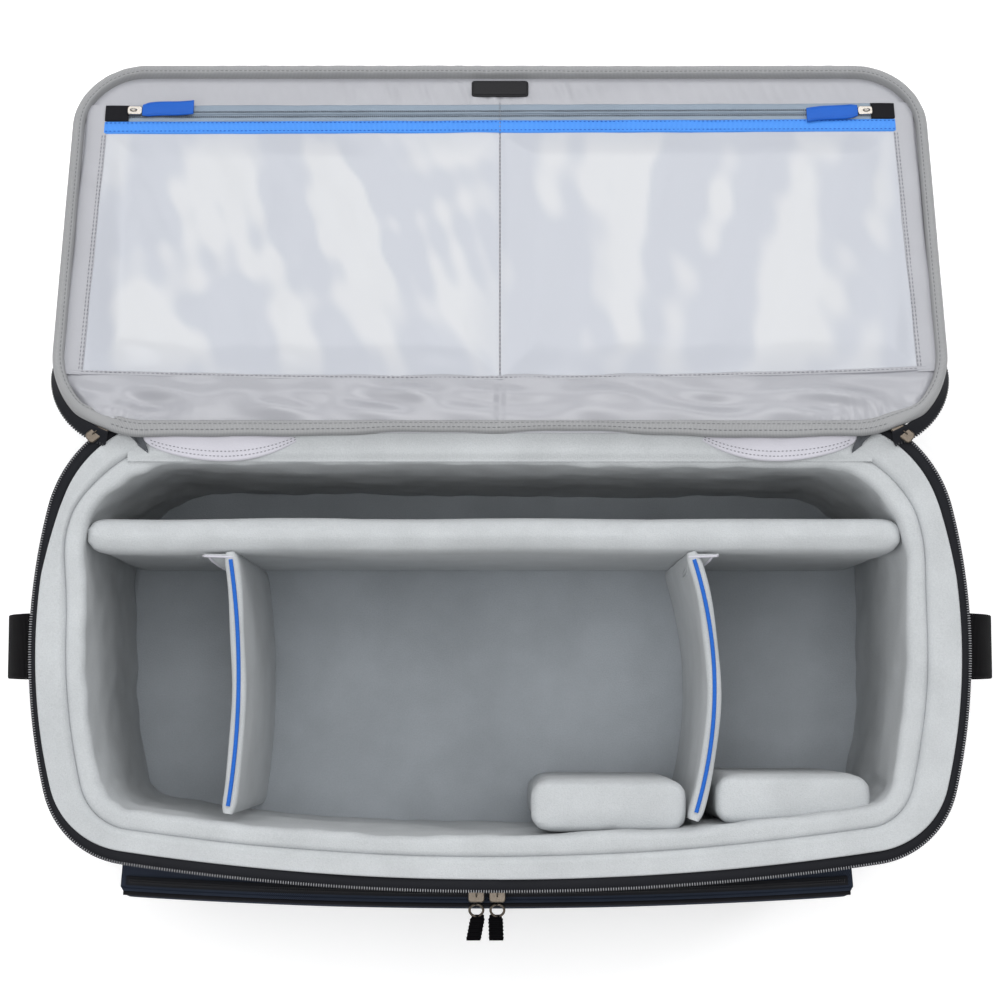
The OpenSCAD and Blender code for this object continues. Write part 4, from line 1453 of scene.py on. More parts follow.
@dataclass
class Lid:
    """The padded lid: outer pad, lining, binding, zip tape and grab handle.

    Attributes:
        plane: Where lid points go.
        rim: The driving outline of the case.
        edge_w: Width of the binding.
        strip_w: Width of the binding along the hinge.
        fan: How far the zip tape fans outwards at the corners by the hinge.
        tall, flat: Height of the binding round the lid and along the hinge.
        seam_at: Distance from the lid's edge to the seam on its outer face.
        tape_w: Width of the zip tape.
        fan_drop: How far the tape's free edge drops where it fans out.
        grab_span, grab_bow, grab_w, grab_t: Span, rise, width and thickness of the grab handle.
    """
    plane: LidPlane
    rim: Rim
    edge_w: float = 9 * MM
    strip_w: float = 17 * MM
    fan: float = 8.5 * MM
    tall: float = 8.8 * MM
    flat: float = 4 * MM
    seam_at: float = 30 * MM
    tape_w: float = 11.5 * MM
    fan_drop: float = 3 * MM
    grab_span: float = 180 * MM
    grab_bow: float = 28 * MM
    grab_w: float = 40 * MM
    grab_t: float = 3 * MM

    def near(self, c: float) -> float:
        """Nearest distance from the hinge at which the pad clears the back of the case."""
        s, cs = math.sin(self.plane.droop), math.cos(self.plane.droop)
        back = self.rim.back - self.rim.tape + self.rim.shell + 2.2 * MM
        return (back - self.plane.y + c * s) / cs

    def pad(self) -> None:
        """The outer pad: rings from the lining side, round the edge and over the outer face."""
        t = self.plane.thick
        turn = np.radians(np.linspace(0, 90, 8))
        edge_r = 9 * MM
        inset = np.concatenate([[14 * MM, 4 * MM], np.full(3, 3.6 * MM),
                                3.6 * MM + edge_r * (1 - np.cos(turn[1:]))])
        c = np.concatenate([[1.6 * MM, 1.6 * MM], np.linspace(2.5 * MM, t - edge_r, 3),
                            t - edge_r + edge_r * np.sin(turn[1:])])
        inset = np.concatenate([inset, [20 * MM, 30 * MM]])
        c = np.concatenate([c, [t, t]])
        loop = self.plane.loop(step=5 * MM)
        flats = []
        for d, depth in zip(inset, c):
            flat = loop.at(d)
            clear = float(self.near(depth)) + max(0.0, d - 3.6 * MM) * 0.98
            flats.append(np.stack([flat[:, 0], np.maximum(flat[:, 1], clear)], axis=1))
        edge = flats[-1]
        middle = (edge.min(axis=0) + edge.max(axis=0)) / 2
        share = np.linspace(0, 0.97, 12)[1:]
        flats += list(edge + (middle - edge) * share[:, None, None])
        flats = np.array(flats)
        depths = np.concatenate([c, np.full(len(share), t)])[:, None]
        wave = 0.6 * MM * noise(flats[..., 0], flats[..., 1], 70 * MM, 61) * (depths > t - 2 * MM)
        shape = tube(self.plane.place(flats, depths + wave)).flipped()
        piece = build("lid_pad", shape, TWILL, "lid", "navy_nylon", ["lid_shell", "lid_foam"])
        seam = loop.at(self.seam_at)
        seam = np.concatenate([seam, seam[:1]])
        seam[:, 1] = np.maximum(seam[:, 1], float(self.near(t)) + 26 * MM)
        path = self.plane.points(seam[:, 0], seam[:, 1], t + 0.4 * MM)
        build("lid_pad_stitching", stitches(path, -self.plane.up(), 4.6 * MM), THREAD_DARK, "lid",
              "navy_nylon")

    def lining(self) -> None:
        """The satin lining: flat bands with creases, puckered where it meets the hinge strip."""
        p = self.plane
        d = self.edge_w - 2 * MM
        e0, e1 = d, p.reach - d
        v = np.linspace(0, 1, 150)
        e = e0 + (e1 - e0) * (v - 0.12 * np.sin(2 * np.pi * v) / (2 * np.pi) * 2)
        rr, rf = p.rear_r - d, p.front_r - d
        x_in = p.half_w - d
        near = np.clip((rr - (e - e0)) / rr, 0, 1)
        far = np.clip((rf - (e1 - e)) / rf, 0, 1)
        half = x_in - rr * (1 - np.sqrt(1 - near ** 2)) - rf * (1 - np.sqrt(1 - far ** 2))
        u = np.linspace(-1, 1, 300)
        x = half[:, None] * u[None]
        ee = np.broadcast_to(e[:, None], x.shape)
        low = np.exp(-((ee - 34 * MM) / (18 * MM)) ** 2)
        pucker = np.exp(-((ee - 20 * MM) / (13 * MM)) ** 2)
        sides = np.clip((np.abs(x) - 215 * MM) / (60 * MM), 0, 1)
        gather = noise(x + 0.3 * np.sign(x) * ee, ee * 0.06, 3.2 * MM, 72, 13)
        gather = gather * pucker * sides * 0.9
        fold = noise(x * 0.30, ee, 13 * MM, 73) * low * 3.0
        fold = fold + noise(x * 0.5 + ee * 1.2, ee * 0.8 - x * 0.2, 24 * MM, 76) * low * 1.8
        bag = (1 - ((ee - 36 * MM) / (22 * MM)) ** 2).clip(0) * 4.6
        top = np.exp(-((ee - (p.reach - 22 * MM)) / (13 * MM)) ** 2)
        crease = noise(x + ee * 0.35, ee * 0.2, 7 * MM, 74, 12)
        crease = crease * top * 0.8 * np.exp(-(x / (240 * MM)) ** 2)
        centre = -2.2 * np.exp(-(x / (3 * MM)) ** 2) * low
        height = (fold + bag + gather + crease + centre + 0.4) * MM
        edge = np.minimum((1 - np.abs(u[None])) * half[:, None], np.minimum(ee - e0, e1 - ee))
        height = height * np.clip(edge / (6 * MM), 0, 1)
        points = p.points(x, ee, -height)
        shape = grid(points, uv=np.stack([x, ee], axis=-1))
        piece = build("lid_lining_cloth", shape.flipped(), SATIN, "lid", "lining_nylon",
                      ["lid_lining"])

    def binding(self) -> None:
        """The rolled binding, low and wide along the hinge and tall round the rest."""
        p = self.plane
        loop = p.loop(step=3 * MM)
        near = np.clip((26 * MM - loop.points[:, 1]) / (20 * MM), 0, 1)
        near = smooth_step(near)
        back = near * (4.2 + 4.4 * np.exp(-(loop.points[:, 0] / (120 * MM)) ** 2)) * MM
        back = back + near * 1.0 * MM * noise(loop.points[:, 0], 0 * near, 45 * MM, 83)
        width = self.edge_w + (self.strip_w - self.edge_w) * near - back
        tall = self.tall + (self.flat - self.tall) * near
        round_up = np.radians(np.linspace(180, 0, 15))
        across = (1 - np.cos(np.pi - round_up)) / 2
        rise = np.sin(round_up) ** 0.55
        s = loop.length()
        wave = 1 + 0.05 * noise(s, 0 * s, 40 * MM, 81) + 0.03 * noise(s, 0 * s, 9 * MM, 82)
        top = -tall[:, None] * rise[None] * wave[:, None]
        inset = width[:, None] * across[None]
        dent = np.exp(-((across[None] - 0.70) / 0.07) ** 2) * 0.9 * MM
        top = top + dent
        flat = loop.points[:, None] - (inset + back[:, None])[..., None] * loop.normals[:, None]
        upper = p.place(flat, top)
        lower = p.place(flat[:, ::-1], np.full((len(loop.points), len(across)), 1.5 * MM))
        points = np.concatenate([upper, lower], axis=1)
        shape = grid(points, True, True)
        build("lid_edge_binding", shape.flipped(), BINDING, "lid", "binding",
              ["lid_binding", "lid_hinge_strip"])
        rows = []
        k = int(np.argmin(np.abs(across - 0.70)))
        for row, share in ((k, 0.0), (k - 4, 1.0)):
            path, where = points[:, row], near >= share - 0.01
            seam = path[where] if share else np.concatenate([path, path[:1]])
            if share:
                order = np.argsort(seam[:, 0])
                seam = seam[order]
            rows.append(stitches(seam + 0.1 * MM * p.up(), p.up(), 3.8 * MM))
        build("lid_binding_stitching", stack(rows), THREAD_GREY, "lid", "binding")

    def zip_tape(self) -> None:
        """The lid's half of the zip, folded back behind the binding, with its coil.

        Round the corners at the hinge it fans outwards, most in the middle of each corner.
        """
        p = self.plane
        loop = p.loop(step=3 * MM)
        part = loop.part(loop.points[:, 1] > 5 * MM)
        corner = np.clip(-2 * np.abs(part.normals[:, 0]) * part.normals[:, 1], 0, 1) ** 0.6
        tape = rounded(1.2 * MM, 2.7 * MM, 0.0, self.tape_w, [0.5 * MM] * 4, 2 * MM, 2)

        def stir(_: Array, t: Array) -> Array:
            """The fan: an outward lean that grows towards the tape's free edge."""
            share = tape[:, 1][t] / self.tape_w
            return np.stack([-self.fan * corner[:, None] * share,
                             -self.fan_drop * corner[:, None] * share ** 2],
                            axis=-1)

        build("lid_tape", carry(part, tape, p.place, stir=stir), ZIP_TAPE, "lid", "zip_tape",
              ["lid_zip_tape"])
        s = part.length()
        where = np.arange(1 * MM, s[-1], 2.1 * MM)
        edge = part.at(1.8 * MM - self.fan * corner)
        flat, normal = follow(where, s, edge), follow(where, s, part.normals)
        deep = self.tape_w + 0.7 * MM - self.fan_drop * np.interp(where, s, corner)
        at = p.place(flat, deep)
        out = p.place(flat + normal, deep) - at
        down = np.broadcast_to(-p.up(), at.shape)
        shape = copies(bead(3.4 * MM, 1.4 * MM, 2.7 * MM, 6, 3), at, down, np.cross(out, down), out)
        build("lid_coil", shape, ZIP_COIL, "lid", "zip_teeth", ["lid_zip_teeth"])

    def handle(self) -> None:
        """The grab handle across the outer face: an arched strap between two sewn ends."""
        p = self.plane
        span, bow, width, thick = self.grab_span, self.grab_bow, self.grab_w, self.grab_t
        r = span * span / (8 * bow) + bow / 2
        a = math.degrees(math.asin(span / 2 / r))
        points, normals = arc(0, bow - r, r, 90 - a, 90 + a, 40, True)
        e0 = p.reach / 2 - width / 2
        section = rounded(0, thick, e0, e0 + width, [1.2 * MM] * 4, 3 * MM, 3)
        strap = carry(Loop(points, normals, False), section,
                      lambda q, h: p.points(q[..., 0], h, p.thick + q[..., 1]))
        ends = [slab(s * (span / 2 + 8 * MM) - 15 * MM, s * (span / 2 + 8 * MM) + 15 * MM, e0,
                     e0 + width, -p.thick - 3 * MM, -p.thick, 3 * MM) for s in (-1.0, 1.0)]
        shape = stack([strap] + [p.shape(end).flipped() for end in ends])
        build("grab_handle", shape, WEBBING, "lid", "black_webbing", ["lid_handle"])

    def build(self) -> None:
        """Build the lid."""
        self.pad()
        self.lining()
        self.binding()
        self.zip_tape()
        self.handle()


@dataclass
class LidPocket:
    """The clear pocket in the lid with its frame, trim, zip, sliders, pulls and blank patch.

    Attributes:
        plane: Where lid points go.
        start: Distance from the hinge to the window's bottom.
        long: Length of the window.
        trim_w: Width of the coloured trim.
        tape_w: Width of the zip tape.
        frame_w: Width of the sewn frame.
        tab: Length of the dark tabs at the zip's ends.
        coil_e: Distance from the trim to the middle of the coil.
        margin: Distance from the lid's edge to the frame.
        flare: How much wider the window is at its bottom, as a share of its width.
        pull: Length of the fabric pulls.
        pull_at: Distance from the tabs to the pulls' hinges.
        patch_w, patch_h: Size of the blank patch.
    """
    plane: LidPlane
    start: float = 57 * MM
    long: float = 217 * MM
    trim_w: float = 12 * MM
    tape_w: float = 15.5 * MM
    frame_w: float = 4.5 * MM
    tab: float = 19 * MM
    coil_e: float = 6.3 * MM
    margin: float = 23 * MM
    flare: float = 0.010
    pull: float = 41 * MM
    pull_at: float = 13.3 * MM
    patch_w: float = 46 * MM
    patch_h: float = 15 * MM
    half_w: float = field(init=False)
    end: float = field(init=False)
    zip_e: float = field(init=False)

    def __post_init__(self) -> None:
        """Work out the window's half width and where the zip begins."""
        self.half_w = self.plane.half_w - self.margin
        self.end = self.start + self.long
        self.zip_e = self.end + self.trim_w

    def on(self, x: Array | float, e: Array | float, c: Array | float) -> Array:
        """Points on the sewn cloth, which runs a little askew and sags towards the hinge.

        Args:
            x, e, c: Lid coordinates as drawn.
        Returns:
            The points in their place.
        """
        x, e = np.asarray(x, float), np.asarray(e, float)
        low, share = np.clip((self.end - e) / self.long, 0, 1), x / self.half_w
        e = e + 1.3 * MM * share + (6.5 * share ** 2 - 2.5) * MM * low
        return self.plane.points(x * (1 + self.flare * low), e, c)

    def strip(self, name: str, x0: float, x1: float, e0: float, e1: float, height: float,
              finish: Finish, slot: str, seed: int, nodes: Sequence[str] = (),
              sway: float = 0.4 * MM) -> bpy.types.Object:
        """A sewn strip: a thin pad with soft edges that sways a little along its length.

        Args:
            name: The piece's name.
            x0, x1, e0, e1: Its rectangle on the lid.
            height: Height of its top above the lining.
            finish: Its material.
            slot: The record's material slot.
            seed: Seed of its sway.
            nodes: CAD nodes it stands for.
            sway: How far its edges wander.
        Returns:
            The strip.
        """
        flat = x1 - x0 > e1 - e0
        n = max(8, int(max(x1 - x0, e1 - e0) / (4 * MM)))
        along = np.linspace(0, 1, n)
        t = np.array([0.0, 0.0, 0.04, 0.12, 0.5, 0.88, 0.96, 1.0, 1.0])
        rise = np.array([-0.6, 0.3, 0.75, 0.95, 1.0, 0.95, 0.75, 0.3, -0.6])
        a, b = np.meshgrid(along, t, indexing="ij")
        h = height * np.broadcast_to(rise, a.shape)
        long = (x1 - x0) if flat else (e1 - e0)
        wander = sway * noise(a * long, 0 * a, 55 * MM, seed)
        lift = 0.25 * MM * (1 + noise(a * long, b * 0.01, 30 * MM, seed + 1)) * (h > 0)
        if flat:
            x, e = x0 + (x1 - x0) * a, e0 + (e1 - e0) * b + wander
        else:
            x, e = x0 + (x1 - x0) * (1 - b) + wander, e0 + (e1 - e0) * a
        points = self.on(x, e, -(h + lift))
        uv = np.stack([x, e], axis=-1) if flat else np.stack([e, x], axis=-1)
        shape = grid(points, uv=uv).flipped()
        return build(name, shape, finish, "lid", slot, nodes)

    def film(self, side: str) -> None:
        """One clear panel: shallow ripples that fan out from the zip towards the hinge.

        Args:
            side: "left" or "right".
        """
        sign = -1.0 if side == "left" else 1.0
        x0, x1 = 0.8 * MM, self.half_w - 3 * MM
        u, v = np.meshgrid(np.linspace(0, 1, 110), np.linspace(0, 1, 90), indexing="ij")
        x, e = x0 + (x1 - x0) * u, self.start - 2 * MM + (self.long + 4 * MM) * v
        seed = 90 if side == "left" else 95
        fan = x + 0.45 * (self.end - e) * (0.7 if side == "left" else 0.5)
        ripple = noise(fan, e * 0.16, 52 * MM, seed, 7)
        ripple = ripple + 0.16 * noise(fan, e * 0.4, 19 * MM, seed + 1, 8)
        edge = np.clip(np.minimum(np.minimum(u, 1 - u) * (x1 - x0),
                                  np.minimum(v, 1 - v) * self.long)
                       / (28 * MM), 0, 1)
        height = 1.3 * MM + smooth_step(edge) * (3.6 * MM + 2.4 * MM * ripple)
        # Painted reflection: a noise mask that lightens the film's colour in streaks where soft
        # light would reflect in its ripples.
        streak_noise = noise(fan, e * 0.30, 44 * MM, seed + 2, 9)
        streak_noise = streak_noise + 0.35 * noise(fan, e * 0.6, 17 * MM, seed + 3)
        haze = np.clip((streak_noise + 0.34) / 0.75, 0, 1)
        haze = smooth_step(haze) * (0.35 + 0.65 * edge)
        points = self.on(sign * x, e, -np.maximum(height, 1.2 * MM))
        shape = grid(points, uv=np.stack([x, e], axis=-1))
        shape = shape.flipped() if sign > 0 else shape
        replaced = ["lid_window"] if side == "left" else []
        piece = build(f"window_{side}", shape, VINYL, "lid", "clear_film", replaced)
        patches = piece.data.attributes.new("haze", "FLOAT", "POINT")
        patches.data.foreach_set("value", haze.ravel().astype(np.float32))

    def sewing(self) -> None:
        """The frame round the window, the trim, and all their rows of stitches."""
        x, w = self.half_w, self.frame_w
        strip, middle = self.strip, self.zip_e + self.coil_e
        top = self.zip_e + self.tape_w
        strip("frame_left", -x - 13 * MM, -x + w, self.start - 4 * MM, top, 1.9 * MM, SATIN,
              "lining_nylon", 101, ["lid_window_frame"])
        strip("frame_right", x - w, x + 13 * MM, self.start - 4 * MM, top, 1.9 * MM, SATIN,
              "lining_nylon", 103)
        strip("frame_bottom", -x - 6 * MM, x + 6 * MM, self.start - 3.4 * MM, self.start + 0.4 * MM,
              2.0 * MM, SATIN, "lining_nylon", 105)
        x -= 2.2 * MM
        strip("trim_strip", -x, x, self.end, self.zip_e, 2.4 * MM, GROSGRAIN, "trim", 107,
              ["lid_trim"], 0.3 * MM)
        strip("zip_tape_low", -x + self.tab, x - self.tab, self.zip_e - 0.5 * MM,
              middle - 0.15 * MM,
              1.5 * MM, PALE_TAPE, "zip_tape", 109, ["lid_pocket_tape"], 0.2 * MM)
        strip("zip_tape_high", -x + self.tab, x - self.tab, middle + 0.15 * MM,
              self.zip_e + self.tape_w, 1.5 * MM, PALE_TAPE, "zip_tape", 109, sway=0.2 * MM)
        for side, s in (("left", -1.0), ("right", 1.0)):
            x0, x1 = sorted((s * x, s * (x - self.tab)))
            nodes = ["lid_pocket_tabs"] if side == "left" else []
            strip(f"zip_tab_{side}", x0, x1, self.zip_e - 0.3 * MM, self.zip_e + self.tape_w,
                  2.6 * MM, PACK_CLOTH, "black_fabric", 111, nodes, 0.1 * MM)
        up = self.plane.up()
        rows = []
        for s in (-1.0, 1.0):
            for off in (1.2 * MM, 3.4 * MM):
                side = s * (self.half_w - w + off)
                rows.append(self.row(side, side, self.start, self.end, 2.4))
        rows.append(self.row(-x, x, self.start - 1.4 * MM, self.start - 1.4 * MM, 2.5))
        rows.append(self.row(0.0, 0.0, self.start, self.zip_e + self.tape_w, 2.7))
        build("window_stitching", stack([stitches(r, up, 3.6 * MM) for r in rows]), THREAD_PALE,
              "lid", "lining_nylon")
        blue = [self.row(-x, x, self.zip_e - off, self.zip_e - off, 2.75) for off in
                (2.0 * MM, self.trim_w - 2.2 * MM)]
        build("trim_stitching", stack([stitches(r, up, 3.4 * MM, 0.6) for r in blue]), THREAD_BLUE,
              "lid", "trim")

    def row(self, x0: float, x1: float, e0: float, e1: float, height_mm: float) -> Array:
        """A straight line on the lid, from (x0, e0) to (x1, e1), at a height over the lining."""
        t = np.linspace(0, 1, 60)
        return self.on(x0 + (x1 - x0) * t, e0 + (e1 - e0) * t, -height_mm * MM)

    def coil(self) -> None:
        """Two rows of small bars that make the coil, one each side of the zip's middle line."""
        e = self.zip_e + self.coil_e
        x = np.arange(-self.half_w + self.tab, self.half_w - self.tab, 1.6 * MM)
        right = np.array([1.0, 0, 0])
        ahead = self.plane.points(0, 1, 0) - self.plane.points(0, 0, 0)
        rows = []
        for off in (-2.3 * MM, 2.3 * MM):
            at = self.on(x, e + off, -2.0 * MM)
            n = len(x)
            rows.append(copies(bead(1.8 * MM, 1.1 * MM, 1.6 * MM), at, np.tile(ahead, (n, 1)),
                               np.tile(right, (n, 1)), np.tile(-self.plane.up(), (n, 1))))
        build("lid_pocket_coil_rows", stack(rows), PALE_COIL, "lid", "zip_teeth",
              ["lid_pocket_coil"])

    def slider(self, side: str) -> None:
        """A plated slider with a wire link, and the padded fabric pull that it carries.

        Args:
            side: "left" or "right".
        """
        sign = -1.0 if side == "left" else 1.0
        e = self.zip_e + self.tape_w / 2
        x = sign * (self.half_w - self.tab - 6.0 * MM)
        low = 3.1 * MM
        ends = sorted((x + sign * 5 * MM, x - sign * 7.2 * MM))
        plate = slab(ends[0], ends[1], e - 4 * MM, e + 4 * MM, low, low + 1.8 * MM, 2.4 * MM)
        hoop = hoop_shape(2.6 * MM, 2.1 * MM, 1.1 * MM)
        hoop = hoop.moved(lambda p: np.stack([p[:, 0] + x, p[:, 1] + e, p[:, 2] + low + 1.5 * MM],
                                             1))
        build(f"lid_slider_{side}_body", self.plane.shape(stack([plate, hoop])), NICKEL,
              f"lid_zip_{side}", "slider_metal", [f"lid_slider_{side}"])
        inner = self.half_w - self.tab - self.pull_at
        a, b = (-inner, -inner + self.pull) if sign < 0 else (inner - self.pull, inner)
        n = 26
        t = np.linspace(0, 1, n)
        xs = a + (b - a) * t
        plump = 1.4 * MM * (0.75 + 0.35 * np.sin(np.pi * t) ** 0.5)
        swing = 3.2 * MM * t if sign < 0 else 4.4 * MM * (t - 1)
        half = 6.6 * MM * (1 - 0.22 * np.exp(-((t if sign < 0 else 1 - t) / 0.08) ** 2))
        ang = circle(20)
        square = np.abs(np.cos(ang)) ** 0.35 * np.sign(np.cos(ang))
        ee = e + half[:, None] * square[None] + (swing + 0.5 * MM * np.sin(6 * t))[:, None]
        hh = low + 1.3 * MM + plump[:, None] * np.sin(ang)[None]
        xx = np.broadcast_to(xs[:, None], ee.shape)
        pull = tube(self.plane.points(xx, ee, -hh)).flipped()
        build(f"lid_pull_{side}_tag", pull, PULL_CLOTH, f"lid_tag_{side}", "pull_fabric",
              [f"lid_pull_{side}"])
        part = slice(2, n - 2)
        rows = [stitches(self.plane.points(xs[part], (e + swing + off)[part], -(low + 2.75 * MM)),
                         self.plane.up(), 2.6 * MM, 0.6, 0.6 * MM) for off in (-4.8 * MM, 4.8 * MM)]
        build(f"lid_pull_{side}_stitching", stack(rows), THREAD_BLUE, f"lid_tag_{side}",
              "pull_fabric")

    def patch(self) -> None:
        """A blank rubber patch with a raised rim in the middle of the top band."""
        w, h, e = self.patch_w, self.patch_h, self.plane.reach - 27 * MM
        base = slab(-w / 2, w / 2, e, e + h, 0.2 * MM, 2.0 * MM, 2.5 * MM)
        inner = slab(-w / 2 + 1.4 * MM, w / 2 - 1.4 * MM, e + 1.4 * MM, e + h - 1.4 * MM, 1.6 * MM,
                     2.5 * MM, 1.6 * MM)
        build("blank_patch", self.plane.shape(stack([base, inner])), RUBBER, "lid", "label_rubber",
              ["lid_label"])

    def build(self) -> None:
        """Build the pocket."""
        for side in ("left", "right"):
            self.film(side)
            self.slider(side)
        self.sewing()
        self.coil()
        self.patch()


@dataclass
class HingeSide:
    """What lies between the case and the lid: felt lip, flaps, corner tucks and outer cloth.

    Attributes:
        rim: The driving outline.
    """
    rim: Rim

    def lip(self) -> None:
        """A felt lip on the back wall, under the lid's hinge strip, sunk into the wall in front."""
        low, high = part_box("hinge_panel")
        x = np.linspace(low[0], high[0], 120)
        a, b = np.meshgrid(x, np.linspace(0, 1, 16), indexing="ij")
        y = low[1] - 1 * MM + 24 * MM * b
        rise = np.clip(np.minimum(b / 0.3, (high[0] - np.abs(a)) / (30 * MM)), 0, 1)
        z = self.rim.top - 1.6 * MM + 3.0 * MM * smooth_step(rise)
        ends = np.clip((high[0] - np.abs(a)) / (30 * MM), 0, 1)
        climb = np.clip((y - 151 * MM) / (11 * MM), 0, 1) * ends
        z = z + 0.3 * MM * noise(a, b * 0.02, 30 * MM, 131) + 6.0 * MM * climb * climb
        shape = grid(np.stack([a, y, z], axis=-1))
        piece = build("hinge_lip", shape, FELT, "case", "lining_nylon", ["hinge_panel"])

    def flap(self, side: str) -> None:
        """A crescent flap: a chord under the hinge strip and a bow towards the inside of the case.

        Args:
            side: "left" or "right".
        """
        sign = -1.0 if side == "left" else 1.0
        low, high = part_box("hinge_flaps")
        x1, x0 = high[0] + 2.5 * MM, high[0] - 121 * MM
        rows = np.concatenate([np.linspace(0, 1, 16), [1.0]])
        u, v = np.meshgrid(np.linspace(0.004, 0.996, 80), rows, indexing="ij")
        bow = 18.8 * MM * (4 * u * (1 - u)) ** (1.05 - 0.5 * u) + 0.6 * MM
        y = low[1] + 23.2 * MM - (bow + 8 * MM) * v
        z = self.rim.top + 4.4 * MM - 1.4 * MM * v ** 3 + 3.4 * MM * (1 - v) ** 2
        z = z + 0.4 * MM * noise(u * 0.12, v * 0.02, 14 * MM, 141)
        z[:, -1] = self.rim.top + 0.6 * MM
        x = x0 + (x1 - x0) * u
        shape = grid(np.stack([sign * x, y, z], axis=-1))
        shape = shape if sign > 0 else shape.flipped()
        nodes = ["hinge_flaps"] if side == "left" else []
        piece = build(f"hinge_flap_{side}", shape.flipped(), POPLIN, "case", "lining_nylon", nodes)
        float(np.sum(((bow[1:, 0] + bow[:-1, 0]) / 2 + 8 * MM) * np.diff(x[:, 0])))
        seams = []
        for k in (13, 11):
            path = np.stack([sign * x[4:-4, k], y[4:-4, k], z[4:-4, k] + 0.25 * MM], axis=1)
            seams.append(stitches(path, np.array([0, 0, 1.0]), 3.0 * MM, 0.6, 0.7 * MM))
        build(f"hinge_flap_{side}_stitching", stack(seams), THREAD_PALE, "case", "lining_nylon")

    def tuck(self) -> None:
        """The folds of cloth where the hinge fabric dives into the rear corners, painted dark as
        painted shade.
        """
        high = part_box("hinge_panel")[1]
        u, v = np.meshgrid(np.linspace(0, 1, 14), np.linspace(0, 1, 14), indexing="ij")
        parts = []
        for sign in (-1.0, 1.0):
            x = high[0] - 14 * MM + 14 * MM * u * (1 - 0.45 * v) + 2 * MM * np.sin(5 * v)
            y = high[1] - 1 * MM - 20 * MM * v * (1 - 0.3 * u)
            crumple = noise(u * 0.014, v * 0.02, 5 * MM, 133)
            z = self.rim.top + 5 * MM - 3.6 * MM * v - 1.2 * MM * np.sin(np.pi * u)
            z = z + 0.9 * MM * crumple
            shape = grid(np.stack([sign * x, y, z], axis=-1))
            parts.append(shape.flipped() if sign > 0 else shape)
        piece = build("corner_tucks", stack(parts), SHADED_POPLIN, "case", "lining_nylon")

    def cloth(self) -> None:
        """The outer cloth, folded on itself: a leaf on the wall and one under the lid's edge."""
        top = self.rim.top
        wall = np.array([[177.6, -2.6], [176.6, -0.2], [174.8, 1.8], [172.0, 2.7], [169.0, 3.7],
                         [166.8, 4.2], [165.4, 5.2]]) * MM
        run = np.linspace(178.0, 165.5, 7)
        lid = np.stack([run, 6.05 - 0.3443 * (run - 164.0)], axis=1) * MM
        for name, path, half, body, rests in (("hinge_cloth", wall, 236 * MM, "case", "foam_wall"),
                                              ("lid_hinge_cloth", lid, 275 * MM, "lid", "lid_pad")):
            x = np.linspace(-half, half, 90)
            points = np.stack([np.broadcast_to(x[:, None], (90, 7)),
                               np.broadcast_to(path[:, 0], (90, 7)),
                               np.broadcast_to(top + path[:, 1], (90, 7))], axis=-1)
            shape = grid(points)
            piece = build(name, shape.flipped() if body == "case" else shape, TWILL, body,
                          "navy_nylon")
            length = float(np.sum(np.hypot(np.diff(path[:, 0]), np.diff(path[:, 1]))))

    def build(self) -> None:
        """Build the hinge side."""
        self.cloth()
        self.lip()
        self.tuck()
        for side in ("left", "right"):
            self.flap(side)


